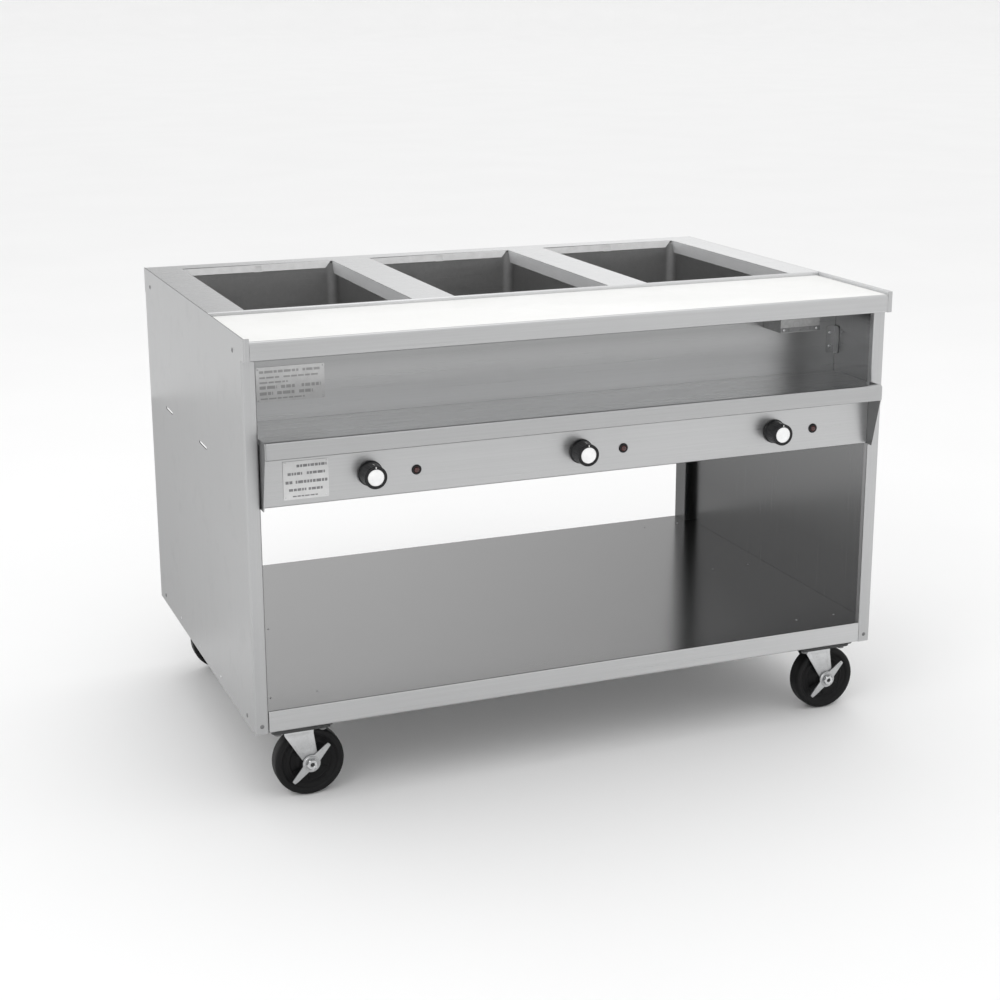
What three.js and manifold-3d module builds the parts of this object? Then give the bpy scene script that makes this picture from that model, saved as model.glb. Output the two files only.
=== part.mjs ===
// Three-well electric steam table on swivel casters.
// Millimetres, +Z up. The operator's side (controls) faces -Y.
// Working coordinates while building: X from the outer face of the left end
// panel, Y from the front face of the jambs (positive to the rear), Z from the
// floor. The last group shifts them so that the origin is the bottom centre.
import * as THREE from 'three';
import { mergeVertices } from 'three/addons/utils/BufferGeometryUtils.js';
import Module from 'manifold-3d';

const wasm = await Module();
wasm.setup();

// ---------------------------------------------------------------- dimensions
const W = 1219.2;            // overall width, outside the end panels
const D = 792;               // end panel depth, jamb face to rear face
const OVER = 21.5;           // how far the fascia stands in front of the jambs
const NOSE = 40;             // how far the plate shelf nose stands in front
const H = 838.2;             // top of the deck above the floor
const ZB = 150;              // bottom edge of the end panels
const T = 1.6;               // sheet thickness
const R = 2.4;               // middle radius of a sheet bend
const GAP = 0.4;             // assembly gap between touching pieces

const JAMB = 24.4;           // face width of a front jamb
const JAMB_LIP = 12;         // jamb's inner return lip
const REAR_FL = 19.4;        // rear flange width of an end panel
const REAR_LIP = 48;         // rear flange's forward lip
const TAB_Z = 800;           // underside of the end panel's front tab
const TAB_FACE = 10;         // width of the tab's front face

const WELL_W = 308;          // deck opening, along X
const WELL_Y0 = 240;         // deck opening, front edge
const WELL_Y1 = 746;         // deck opening, rear edge
const WELL_X = [67, 455.6, 844.2];
const WELL_SIDE_FL = 25;     // turned-down flange on an opening's sides
const WELL_REAR_FL = 15;     // turned-down flange on an opening's rear
const PAN_BOTTOM = 640;      // outside bottom of a well pan
const PAN_T = 1.5;
const PAN_OUT = 10;          // pan walls stand outside the opening's edges
const PAN_RIM = 8.5;

const LEDGE_Z = 818.8;       // top of the ledge that carries the board
const BOARD_T = 12.7;
const BOARD_Y0 = -9.0, BOARD_Y1 = 235.6, BOARD_X0 = 6;

const SHELF_Z = 655;         // plate shelf floor
const NOSE_TOP = 668, NOSE_BOT = 638;
const WALL_Y = 168;          // recess back wall
const PANEL_Y = 3;           // control panel face
const PANEL_BOT = 547;
const KNOB_X = [214, 602.6, 991.2];
const KNOB_Z = 590;
const PILOT_DX = 83, PILOT_Z = 587.5;
const KNOB_R = 22, KNOB_FACE_R = 19.5, KNOB_PROUD = 33;

const HOUSE_Z = 600;         // underside of the well housing
const HOUSE_Y0 = 195, HOUSE_Y1 = 783;
const BOTTOM_Z = 189;        // top of the bottom shelf

const WHEEL_R = 63.5, WHEEL_W = 32, WHEEL_SIDES = 24;
const WHEEL_Z = WHEEL_R * Math.cos(Math.PI / WHEEL_SIDES);
const TRAIL = 22;            // wheel centre behind the swivel axis
const CASTER_X = 86;         // swivel axis from the outer face of an end panel
const CASTER_YF = 66, CASTER_YR = 726;
const PLATE = 105, PLATE_T = 6;
const CHANNEL_BOT = 145;     // underside of the base channels
const PLATE_TOP = CHANNEL_BOT - 0.3;

// ------------------------------------------------------------------ materials
const mat = (color, roughness, metalness) =>
  new THREE.MeshStandardMaterial({ color, roughness, metalness });
const STEEL = mat(0xbfc0c2, 0.34, 0.9);
const DECK = mat(0xd9dadb, 0.28, 0.9);
const WELL = mat(0x6e7073, 0.55, 0.7);
const BLACKP = mat(0x151515, 0.45, 0.0);
const RUBBER = mat(0x222222, 0.8, 0.0);
const ZINC = mat(0xa9abae, 0.38, 0.85);
const BOARD = mat(0xf6f6f4, 0.5, 0.0);
const LENS = mat(0x5a1410, 0.2, 0.0);
const LABEL = mat(0xe6e6e3, 0.5, 0.1);
const SHEATH = mat(0x55504c, 0.6, 0.6);
const WOOL = mat(0xc9b77a, 0.95, 0.0);
const PHENOL = mat(0x4a3a2e, 0.6, 0.0);

// -------------------------------------------------------------------- helpers
// Signed volume, used to keep every face pointing out.
function volume(g) {
  const p = g.attributes.position, ix = g.index;
  const n = ix ? ix.count : p.count;
  let v = 0;
  const a = new THREE.Vector3(), b = new THREE.Vector3(), c = new THREE.Vector3();
  for (let i = 0; i < n; i += 3) {
    const [i0, i1, i2] = ix ? [ix.getX(i), ix.getX(i + 1), ix.getX(i + 2)] : [i, i + 1, i + 2];
    a.fromBufferAttribute(p, i0); b.fromBufferAttribute(p, i1); c.fromBufferAttribute(p, i2);
    v += a.dot(b.cross(c)) / 6;
  }
  return v;
}
// A closed geometry as a solid.
function solid(g0) {
  let g = g0.clone();
  for (const k of Object.keys(g.attributes)) if (k !== 'position') g.deleteAttribute(k);
  g = mergeVertices(g, 1e-4);
  const v = g.attributes.position.array;
  let t = Array.from(g.index.array);
  // drop the slivers that fold onto one vertex, such as at a lathe's pole
  const keep = [];
  for (let i = 0; i < t.length; i += 3)
    if (t[i] !== t[i + 1] && t[i + 1] !== t[i + 2] && t[i] !== t[i + 2]) keep.push(t[i], t[i + 1], t[i + 2]);
  g.setIndex(keep);
  if (volume(g) < 0) for (let i = 0; i < keep.length; i += 3) [keep[i + 1], keep[i + 2]] = [keep[i + 2], keep[i + 1]];
  return new wasm.Manifold(new wasm.Mesh({ numProp: 3, vertProperties: new Float32Array(v), triVerts: new Uint32Array(keep) }));
}
function geom(m) {
  const k = m.getMesh();
  const g = new THREE.BufferGeometry();
  g.setAttribute('position', new THREE.BufferAttribute(new Float32Array(k.vertProperties), 3));
  g.setIndex(new THREE.BufferAttribute(new Uint32Array(k.triVerts), 1));
  return g;
}
const toShape = (pts) => {
  let a = 0;
  for (let i = 0; i < pts.length; i++) {
    const p = pts[i], q = pts[(i + 1) % pts.length];
    a += p[0] * q[1] - q[0] * p[1];
  }
  const l = a < 0 ? [...pts].reverse() : pts;
  return new THREE.Shape(l.map((p) => new THREE.Vector2(p[0], p[1])));
};
const ext = (pts, d) => new THREE.ExtrudeGeometry(toShape(pts), { depth: d, bevelEnabled: false, steps: 1 });
const basis = (x, y, z) => new THREE.Matrix4().makeBasis(new THREE.Vector3(...x), new THREE.Vector3(...y), new THREE.Vector3(...z));
// outline in (x, y), between two heights
const exZ = (pts, z0, z1) => solid(ext(pts, z1 - z0).translate(0, 0, z0));
// outline in (y, z), between two x
const exX = (pts, x0, x1) => solid(ext(pts, x1 - x0).applyMatrix4(basis([0, 1, 0], [0, 0, 1], [1, 0, 0])).translate(x0, 0, 0));
// outline in (x, z), between two y
const exY = (pts, y0, y1) => solid(ext(pts, y1 - y0).applyMatrix4(basis([1, 0, 0], [0, 0, 1], [0, -1, 0])).translate(0, y1, 0));
const box = (x0, x1, y0, y1, z0, z1) =>
  solid(new THREE.BoxGeometry(x1 - x0, y1 - y0, z1 - z0).translate((x0 + x1) / 2, (y0 + y1) / 2, (z0 + z1) / 2));
// round bar along Y, X or Z
const rodY = (x, z, r, y0, y1, n = 20) => solid(new THREE.CylinderGeometry(r, r, y1 - y0, n).translate(x, (y0 + y1) / 2, z));
const rodZ = (x, y, r, z0, z1, n = 20) => solid(new THREE.CylinderGeometry(r, r, z1 - z0, n).rotateX(Math.PI / 2).translate(x, y, (z0 + z1) / 2));
// A bent sheet's cross-section: the middle line's corners are rounded by r, and
// the sheet is t thick.
function bent(path, t = T, r = R, seg = 3) {
  const L = [], Q = [];
  const push = (p, n) => { L.push([p[0] + n[0] * t / 2, p[1] + n[1] * t / 2]); Q.push([p[0] - n[0] * t / 2, p[1] - n[1] * t / 2]); };
  const dir = (a, b) => { const l = Math.hypot(b[0] - a[0], b[1] - a[1]); return [(b[0] - a[0]) / l, (b[1] - a[1]) / l]; };
  const left = (d) => [-d[1], d[0]];
  const N = path.length;
  push(path[0], left(dir(path[0], path[1])));
  for (let i = 1; i < N - 1; i++) {
    const d0 = dir(path[i - 1], path[i]), d1 = dir(path[i], path[i + 1]);
    const th = Math.atan2(d0[0] * d1[1] - d0[1] * d1[0], d0[0] * d1[0] + d0[1] * d1[1]);
    const rr = Array.isArray(r) ? r[i - 1] : r;
    const tl = rr * Math.tan(Math.abs(th) / 2), s = Math.sign(th), n0 = left(d0);
    const st = [path[i][0] - d0[0] * tl, path[i][1] - d0[1] * tl];
    const c = [st[0] + n0[0] * s * rr, st[1] + n0[1] * s * rr];
    for (let k = 0; k <= seg; k++) {
      const a = th * k / seg, ca = Math.cos(a), sa = Math.sin(a);
      const n = [n0[0] * ca - n0[1] * sa, n0[0] * sa + n0[1] * ca];
      push([c[0] - n[0] * s * rr, c[1] - n[1] * s * rr], n);
    }
  }
  push(path[N - 1], left(dir(path[N - 2], path[N - 1])));
  return [...L, ...Q.reverse()];
}
function roundRect(x0, x1, y0, y1, r, seg = 4) {
  const o = [];
  const c = [[x1 - r, y0 + r, -90], [x1 - r, y1 - r, 0], [x0 + r, y1 - r, 90], [x0 + r, y0 + r, 180]];
  for (const [cx, cy, a0] of c)
    for (let k = 0; k <= seg; k++) {
      const a = (a0 + 90 * k / seg) * Math.PI / 180;
      o.push([cx + r * Math.cos(a), cy + r * Math.sin(a)]);
    }
  return o;
}
const mirX = (pts) => pts.map((p) => [W - p[0], p[1]]);
// ring or turned body about the Y axis, profile (radius, y)
const lathe = (prof, n) => solid(new THREE.LatheGeometry(prof.map((p) => new THREE.Vector2(p[0], p[1])), n));

const table = new THREE.Group();
const root = new THREE.Group();
root.name = 'steam_table_unit';
function add(name, m, material) {
  const k = new THREE.Mesh(geom(m), material);
  k.name = name;
  table.add(k);
  return k;
}

// ----------------------------------------------------------------- end panels
// One bent sheet a side: jamb with return lip in front, side face, flange with
// forward lip at the rear, and a tab that covers the end of the front fascia.
function endPanel(left) {
  const f = (p) => (left ? p : mirX(p));
  const lip = JAMB - T / 2;
  const low = f(bent([[lip, JAMB_LIP], [lip, T / 2], [T / 2, T / 2], [T / 2, D - T / 2], [REAR_FL - T / 2, D - T / 2], [REAR_FL - T / 2, D - REAR_LIP]]));
  const mid = f(bent([[lip, JAMB_LIP], [lip, T / 2], [T / 2, T / 2], [T / 2, D]]));
  const top = f(bent([[TAB_FACE, -OVER + T / 2], [T / 2, -OVER + T / 2], [T / 2, D]]));
  const rear = f(bent([[T / 2, D - REAR_LIP - 20], [T / 2, D - T / 2], [REAR_FL - T / 2, D - T / 2], [REAR_FL - T / 2, D - REAR_LIP]]));
  let m = exZ(low, ZB, 790).add(exZ(mid, 790, TAB_Z)).add(exZ(top, TAB_Z, H)).add(exZ(rear, 789, 798.2));
  // two hanging slots in the side face
  for (const [y, z] of [[313.6, 586], [604.9, 586]]) {
    const s = roundRect(y - 29, y + 29, z - 2.6, z + 2.6, 2.5, 3);
    m = m.subtract(exX(s, left ? -1 : W - 4, left ? 4 : W + 1));
  }
  return m;
}
add('end_panel_left', endPanel(true), STEEL);
add('end_panel_right', endPanel(false), STEEL);

// ------------------------------------------------------------------- top deck
{
  const prof = bent([[D - T / 2, 798.6], [D - T / 2, H - T / 2], [WELL_Y0 - 3.2, H - T / 2], [WELL_Y0 - 3.2, LEDGE_Z - T / 2], [-18, LEDGE_Z - T / 2]]);
  let m = exX(prof, 1.9, W - 1.9);
  m = m.add(box(1.9, 3.5, WELL_Y0, D - 4, 798.6, H - 0.8)).add(box(W - 3.5, W - 1.9, WELL_Y0, D - 4, 798.6, H - 0.8));
  for (const x0 of WELL_X) {
    const x1 = x0 + WELL_W, z = H - 0.8;
    m = m.subtract(box(x0, x1, WELL_Y0, WELL_Y1, 830, 842));
    const s = WELL_SIDE_FL, q = WELL_REAR_FL, c = 12;
    const side = [[WELL_Y0 + 5, z], [WELL_Y0 + 5 + c, H - s], [WELL_Y1 - 2 - c, H - s], [WELL_Y1 - 2, z]];
    m = m.add(exX(side, x0 - T, x0)).add(exX(side, x1, x1 + T));
    const xc = (x0 + x1) / 2;
    let rear = exY([[x0 + 2, z], [x0 + 2 + c, H - q], [x1 - 2 - c, H - q], [x1 - 2, z]], WELL_Y1, WELL_Y1 + T);
    rear = rear.subtract(box(xc - 6, xc + 6, WELL_Y1 - 2, WELL_Y1 + 4, H - q - 1, H - 4));
    m = m.add(rear);
  }
  add('top_deck', m, DECK);
}
// Front fascia: rolled top, turned-in bottom.
add('front_fascia', exX(bent([[-8, 800.8], [-20.7, 800.8], [-20.7, 831.9], [-10.3, 831.9], [-10.3, 819.4]], T, [R, 5, 5], 4), TAB_FACE + 0.4, W - TAB_FACE - 0.4), STEEL);
// Cutting board in the ledge.
{
  const y0 = BOARD_Y0, y1 = BOARD_Y1, z0 = LEDGE_Z + GAP, z1 = z0 + BOARD_T, c = 1.8;
  add('cutting_board', exX([[y0 + c, z0], [y1 - c, z0], [y1, z0 + c], [y1, z1 - c], [y1 - c, z1], [y0 + c, z1], [y0, z1 - c], [y0, z0 + c]], BOARD_X0, W - BOARD_X0), BOARD);
}

// ---------------------------------------------------------- wells and heaters
const NAMES = ['left', 'middle', 'right'];
// A path that steps from corner point to corner point.
class Corners extends THREE.Curve {
  constructor(v) { super(); this.v = v; }
  getPoint(t, out = new THREE.Vector3()) {
    const n = this.v.length - 1, k = Math.min(n - 1, Math.floor(t * n + 1e-9)), f = t * n - k;
    return out.copy(this.v[k]).lerp(this.v[k + 1], Math.min(1, Math.max(0, f)));
  }
  getPointAt(u, out) { return this.getPoint(u, out); }
  getTangentAt(u, out = new THREE.Vector3()) {
    const n = this.v.length - 1, k = Math.round(u * n), a = Math.max(0, k - 1), b = Math.min(n, k + 1);
    const d = (i, j) => this.v[j].clone().sub(this.v[i]).normalize();
    return out.copy(a === k ? d(k, b) : b === k ? d(a, k) : d(a, k).add(d(k, b)).normalize());
  }
}
const ELEMENT_Z = 668;
WELL_X.forEach((x0, i) => {
  const x1 = x0 + WELL_W, o = PAN_OUT, xc = (x0 + x1) / 2;
  const yi = WELL_Y0 - 0.5, yb = WELL_Y1 + o, zt = H - T - GAP;
  const outer = roundRect(x0 - o - PAN_T, x1 + o + PAN_T, yi - PAN_T, yb + PAN_T, 20 + PAN_T);
  const inner = roundRect(x0 - o, x1 + o, yi, yb, 20);
  let m = exZ(outer, PAN_BOTTOM, zt).subtract(exZ(inner, PAN_BOTTOM + PAN_T, zt + 5));
  // rim on both sides and the rear
  let rim = exZ(roundRect(x0 - o - PAN_T - PAN_RIM, x1 + o + PAN_T + PAN_RIM, yi - 40, yb + PAN_T + PAN_RIM, 24), zt - PAN_T, zt)
    .subtract(exZ(inner, zt - 9, zt + 9)).subtract(box(x0 - 60, x1 + 60, yi - 60, yi + 24, zt - 9, zt + 9));
  m = m.add(rim).subtract(box(x0 - 60, x1 + 60, yi - 60, yi + 2.5, zt - 2.2, zt + 9));
  for (const dx of [-32, 32]) m = m.subtract(rodY(xc + dx, ELEMENT_Z, 5.5, yi - 6, yi + 6, 12));
  add(`well_pan_${NAMES[i]}`, m, WELL);

  // tubular element: both leads pass the pan's front wall, one loop inside
  const z = ELEMENT_Z, r = 28;
  const P = [[xc - 32, 214], [xc - 32, 300], [xc - 112, 300], [xc - 112, 690], [xc + 112, 690], [xc + 112, 300], [xc + 32, 300], [xc + 32, 214]];
  const V = [new THREE.Vector3(P[0][0], P[0][1], z)];
  for (let k = 1; k < P.length - 1; k++) {
    const b = new THREE.Vector3(P[k][0], P[k][1], z);
    const u = b.clone().sub(new THREE.Vector3(P[k - 1][0], P[k - 1][1], z)).normalize();
    const w = new THREE.Vector3(P[k + 1][0], P[k + 1][1], z).sub(b).normalize();
    const o = b.clone().addScaledVector(u, -r).addScaledVector(w, r);
    for (let q = 0; q <= 3; q++) {
      const a = q * Math.PI / 6;
      V.push(o.clone().addScaledVector(w, -r * Math.cos(a)).addScaledVector(u, r * Math.sin(a)));
    }
  }
  V.push(new THREE.Vector3(P[7][0], P[7][1], z));
  const path = new Corners(V);
  const ring = [];
  for (let k = 0; k < 8; k++) ring.push([4 * Math.cos((k + 0.5) * Math.PI / 4), 4 * Math.sin((k + 0.5) * Math.PI / 4)]);
  add(`heating_element_${NAMES[i]}`, solid(new THREE.ExtrudeGeometry(toShape(ring), { steps: V.length - 1, extrudePath: path, bevelEnabled: false })), SHEATH);
});
// Insulation under the pans, and the outer housing round them.
add('insulation_pad', box(34, W - 34, HOUSE_Y0 + 4, HOUSE_Y1 - 4, HOUSE_Z + 2, PAN_BOTTOM - GAP), WOOL);
{
  let m = exZ(roundRect(30, W - 30, HOUSE_Y0, HOUSE_Y1, 4, 2), HOUSE_Z, 815)
    .subtract(exZ(roundRect(30 + T, W - 30 - T, HOUSE_Y0 + T, HOUSE_Y1 - T, 2.5, 2), HOUSE_Z + T, 830));
  for (const x0 of WELL_X) m = m.subtract(rodY(x0 + WELL_W / 2, 690, 12, HOUSE_Y0 - 4, HOUSE_Y0 + 6, 16));
  add('well_housing', m, STEEL);
}
// Rear panel below the deck's rear flange.
add('rear_panel', exX(bent([[771, 560.8], [D - T / 2, 560.8], [D - T / 2, 797.6]]), REAR_FL + GAP, W - REAR_FL - GAP), STEEL);

// ------------------------------------------------------- plate shelf, controls
add('recess_back_wall', exX(bent([[190, 816], [WALL_Y + T / 2, 816], [WALL_Y + T / 2, 646]]), 1.9, W - 1.9), STEEL);
{
  const x0 = JAMB + 2.2, x1 = W - JAMB - 2.2, zf = SHELF_Z - T / 2, zt = NOSE_TOP - T / 2, zb = NOSE_BOT + T / 2, yn = -NOSE + T / 2;
  let m = exX(bent([[WALL_Y - GAP, zf], [-28, zf], [-28, zt], [yn, zt], [yn, zb], [PANEL_Y - 0.6, zb]], T, [R, 2.6, 3.2, R]), x0, x1);
  for (const [a, b] of [[1.9, x0 + 1], [x1 - 1, W - 1.9]]) m = m.add(box(a, b, JAMB_LIP + 0.8, WALL_Y - GAP, SHELF_Z - T, SHELF_Z));
  add('plate_shelf', m, STEEL);
  let p = exX(bent([[25, 652.2], [PANEL_Y + T / 2, 652.2], [PANEL_Y + T / 2, PANEL_BOT + T / 2], [25, PANEL_BOT + T / 2]]), x0, x1);
  for (const k of KNOB_X) p = p.subtract(rodY(k, KNOB_Z, 5.8, 0, 10, 10)).subtract(rodY(k + PILOT_DX, PILOT_Z, 5.2, 0, 10, 10));
  add('control_panel', p, STEEL);
}
for (const left of [true, false]) {
  const g = [[12.4, 652.4], [2, 652.4], [2, 666.8], [-36.5, 666.8], [-38.8, 664.4], [-39, 641.5], [-37.4, 638.6], [-15, PANEL_BOT], [12.4, PANEL_BOT]];
  add(`gusset_${left ? 'left' : 'right'}`, left ? exX(g, JAMB + 0.3, JAMB + 1.9) : exX(g, W - JAMB - 1.9, W - JAMB - 0.3), STEEL);
}
add('wiring_cover', exX(bent([[JAMB_LIP + 1, 549.9], [193.6, 549.9], [193.6, 645]]), 2.2, W - 2.2).subtract(rodZ(1150, 150, 11, 540, 560, 20)), STEEL);
// Strain relief for the supply, hanging under the wiring cover.
{
  let g = rodZ(1150, 150, 10.4, 540, 566, 14)
    .add(solid(new THREE.CylinderGeometry(15, 15, 7, 6).rotateX(Math.PI / 2).translate(1150, 150, 545)))
    .add(solid(new THREE.CylinderGeometry(15, 15, 5, 6).rotateX(Math.PI / 2).translate(1150, 150, 553.6)))
    .add(solid(new THREE.CylinderGeometry(12.5, 8, 16, 14).rotateX(Math.PI / 2).translate(1150, 150, 534)));
  g = g.subtract(rodZ(1150, 150, 5, 500, 600, 10));
  add('supply_gland', g, BLACKP);
}
// Switches with their shafts, pilot lights and knobs.
KNOB_X.forEach((x, i) => {
  const y = PANEL_Y + T + GAP;
  let s = exY(roundRect(x - 20, x + 20, KNOB_Z - 20, KNOB_Z + 20, 3, 2), y, y + 34)
    .add(rodY(x, KNOB_Z, 5, PANEL_Y - 0.2, y + 1, 10))
    .add(rodY(x, KNOB_Z, 3, -20, y + 1, 10));
  for (const [dx, dz] of [[-12, -12], [12, -12], [-12, 12], [12, 12], [0, 0]]) s = s.add(box(x + dx - 3.2, x + dx + 3.2, y + 33, y + 43, KNOB_Z + dz - 0.4, KNOB_Z + dz + 0.4));
  add(`control_switch_${NAMES[i]}`, s, PHENOL);

  // lens and body; y runs forward from the panel face
  const L = lathe([[0, -4.6], [2.6, -4.2], [4.6, -2.9], [5.4, -1.4], [6.6, -1.0], [6.6, 0], [4.6, 0], [4.6, 26], [0, 26]].map(([a, b]) => [a, b + PANEL_Y - 0.3]), 12);
  add(`pilot_light_${NAMES[i]}`, L.translate(x + PILOT_DX, 0, PILOT_Z), LENS);

  const k0 = PANEL_Y - 0.8, f = PANEL_Y - KNOB_PROUD - 3;
  const prof = [[0, f + 1.2], [14.5, f + 1.2], [15, f], [KNOB_FACE_R - 1.5, f], [KNOB_FACE_R, f + 1.5], [KNOB_FACE_R + 0.9, k0 - 9], [KNOB_R, k0 - 4], [KNOB_R, k0], [17, k0], [17, k0 - 4], [3.5, k0 - 4], [3.5, -21.5], [0, -21.5]];
  add(`knob_${NAMES[i]}`, lathe(prof, 20).translate(x, 0, KNOB_Z), BLACKP);
});
// Junction box under the board ledge, open towards the ledge.
{
  const o = box(1057, 1141, 102, WALL_Y - GAP, 750, 816.6), c = box(1058.6, 1139.4, 103.6, WALL_Y - 2, 751.6, 820);
  add('junction_box', o.subtract(c).subtract(rodZ(1085, 135, 8, 745, 756, 14)), STEEL);
}
// Instruction plate on the control panel and rating plate in the recess.
add('instruction_plate', exY(roundRect(64, 142, 558, 623.5, 2.5, 2), PANEL_Y - 1.1, PANEL_Y - 0.3), LABEL);
add('rating_plate', exY(roundRect(65, 187, 688, 750, 2.5, 2), WALL_Y - 1.1, WALL_Y - 0.3), LABEL);

// --------------------------------------------------------------- bottom shelf
{
  const x0 = JAMB + 0.4, x1 = W - x0, z = BOTTOM_Z - T / 2;
  let m = exX(bent([[7, ZB + T / 2], [T / 2, ZB + T / 2], [T / 2, z], [788.6, z], [788.6, 160.8], [783, 160.8]]), x0, x1);
  for (const left of [true, false]) {
    const s = [[1.9, JAMB_LIP + 0.8], [x0 + 1, JAMB_LIP + 0.8], [x0 + 1, 786], [REAR_FL + GAP, 786], [REAR_FL + GAP, D - REAR_LIP - 0.6], [1.9, D - REAR_LIP - 0.6]];
    m = m.add(exZ(left ? s : mirX(s), BOTTOM_Z - T, BOTTOM_Z));
  }
  add('bottom_shelf', m, STEEL);
}
for (const left of [true, false]) {
  const c = bent([[33.8, 186.8], [33.8, CHANNEL_BOT + T / 2], [138.2, CHANNEL_BOT + T / 2], [138.2, 186.8]]);
  add(`base_channel_${left ? 'left' : 'right'}`, exY(left ? c : mirX(c), 8.3, 781), STEEL);
}

// -------------------------------------------------------------------- casters
const CASTERS = [
  ['front_left', CASTER_X, CASTER_YF, true], ['front_right', W - CASTER_X, CASTER_YF, true],
  ['rear_left', CASTER_X, CASTER_YR, false], ['rear_right', W - CASTER_X, CASTER_YR, false],
];
for (const [name, cx, cy, brake] of CASTERS) {
  const at = (m) => m.translate(cx, cy, 0);
  // top plate with four bolt holes, pin and pin head
  let p = exZ(roundRect(-PLATE / 2, PLATE / 2, -PLATE / 2, PLATE / 2, 8, 2), PLATE_TOP - PLATE_T, PLATE_TOP);
  for (const a of [-1, 1]) for (const b of [-1, 1]) p = p.subtract(exZ(roundRect(a * 40 - 5, a * 40 + 5, b * 38 - 7, b * 38 + 7, 4.9, 1), 130, 150));
  const zp = PLATE_TOP - PLATE_T;
  p = p.add(rodZ(0, 0, 6, 126.3, zp + 1, 12)).add(rodZ(0, 0, 9.5, 126.3, 128.0, 12));
  add(`caster_plate_${name}`, at(p), ZINC);
  // ball race between plate and fork
  const z1 = zp - 0.3, z0 = 132.4;
  add(`swivel_race_${name}`, at(lathe([[7, z0], [27, z0], [31, z0 + 2.6], [28, z1], [7, z1], [7, z0]], 18).rotate(90, 0, 0)), ZINC);
  // fork: crown and two tapering legs
  const yo = 21.4, yi = 18.3, zc1 = 132.1, zc0 = 128.6;
  let f = exZ(roundRect(-27, 30, -yo, yo, 5, 2), zc0, zc1);
  const leg = [[-24, zc1 - 0.2], [-24, 120], [TRAIL - 13, WHEEL_Z + 4]];
  for (let k = 0; k <= 4; k++) { const a = Math.PI * (0.93 + 1.14 * k / 4); leg.push([TRAIL + 13 * Math.cos(a), WHEEL_Z + 13 * Math.sin(a)]); }
  leg.push([TRAIL + 13, WHEEL_Z + 6], [28, 118], [28, zc1 - 0.2]);
  f = f.add(exY(leg, -yo, -yi)).add(exY(leg, yi, yo));
  f = f.subtract(rodZ(0, 0, 6.8, 120, 140, 12)).subtract(rodY(TRAIL, WHEEL_Z, 6.8, -30, 30, 12));
  add(`caster_fork_${name}`, at(f), ZINC);
  // wheel: tyre and hub in one turned body
  const h = WHEEL_W / 2;
  const prof = [[6.5, -17.8], [18, -17.8], [48, -13], [59, -h], [WHEEL_R, -h + 5], [WHEEL_R, h - 5], [59, h], [48, 13], [18, 17.8], [6.5, 17.8], [6.5, -17.8]];
  add(`caster_wheel_${name}`, at(lathe(prof, WHEEL_SIDES).rotate(0, 180 / WHEEL_SIDES, 0).translate(TRAIL, 0, WHEEL_Z)), RUBBER);
  // axle bolt with head and nut
  const front = brake ? -25.4 : -21.8;
  const hex = (y0, y1) => solid(new THREE.CylinderGeometry(10.2, 10.2, y1 - y0, 6).translate(TRAIL, (y0 + y1) / 2, WHEEL_Z));
  add(`caster_axle_${name}`, at(rodY(TRAIL, WHEEL_Z, 6, front - 1, 28, 12).add(hex(front - 6.4, front)).add(hex(21.8, 28.6))), ZINC);
  if (brake) {
    // brake lever: a strap across the wheel face on the axle bolt
    const s = [], c = Math.cos(Math.PI * 44 / 180), n = Math.sin(Math.PI * 44 / 180);
    const half = [[46, -3.4], [46, 3.4], [38, 5], [14, 7.4]];
    for (const q of half) s.push(q);
    for (let k = 1; k < 6; k++) { const a = Math.PI * (0.17 + 0.66 * k / 6); s.push([16 * Math.cos(a), 16 * Math.sin(a)]); }
    const all = [...s, ...s.map(([a, b]) => [-a, -b])];
    const lever = all.map(([a, b]) => [TRAIL + a * c - b * n, WHEEL_Z + a * n + b * c]);
    add(`brake_lever_${name}`, at(exY(lever, -25.0, -21.8).subtract(rodY(TRAIL, WHEEL_Z, 6.8, -30, -15, 12))), ZINC);
  }
}

table.position.set(-W / 2, -(D - NOSE) / 2, 0);
root.add(table);
root.updateMatrixWorld(true);
export default root;
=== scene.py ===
import math, random
import bpy, bmesh
from mathutils import Matrix, Vector


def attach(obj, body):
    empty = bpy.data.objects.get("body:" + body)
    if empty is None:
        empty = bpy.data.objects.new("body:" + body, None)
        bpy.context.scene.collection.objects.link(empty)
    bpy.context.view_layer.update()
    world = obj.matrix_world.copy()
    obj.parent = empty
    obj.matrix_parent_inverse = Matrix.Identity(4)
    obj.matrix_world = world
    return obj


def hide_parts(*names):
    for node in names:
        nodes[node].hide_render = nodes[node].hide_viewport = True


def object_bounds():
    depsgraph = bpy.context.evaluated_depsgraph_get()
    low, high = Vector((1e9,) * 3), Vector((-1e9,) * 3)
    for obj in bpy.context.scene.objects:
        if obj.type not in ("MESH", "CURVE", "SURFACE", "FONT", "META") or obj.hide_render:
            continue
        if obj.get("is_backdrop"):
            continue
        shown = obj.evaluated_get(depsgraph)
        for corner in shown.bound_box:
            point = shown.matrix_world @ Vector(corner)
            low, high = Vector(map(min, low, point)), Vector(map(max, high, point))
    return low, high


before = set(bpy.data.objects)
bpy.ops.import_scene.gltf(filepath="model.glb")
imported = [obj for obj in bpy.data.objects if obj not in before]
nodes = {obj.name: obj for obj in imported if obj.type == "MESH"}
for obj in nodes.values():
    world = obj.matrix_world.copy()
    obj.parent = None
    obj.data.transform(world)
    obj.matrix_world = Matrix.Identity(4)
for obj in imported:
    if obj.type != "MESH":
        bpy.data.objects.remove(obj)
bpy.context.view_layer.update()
PI = math.pi
rnd = random.Random(7)

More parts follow.
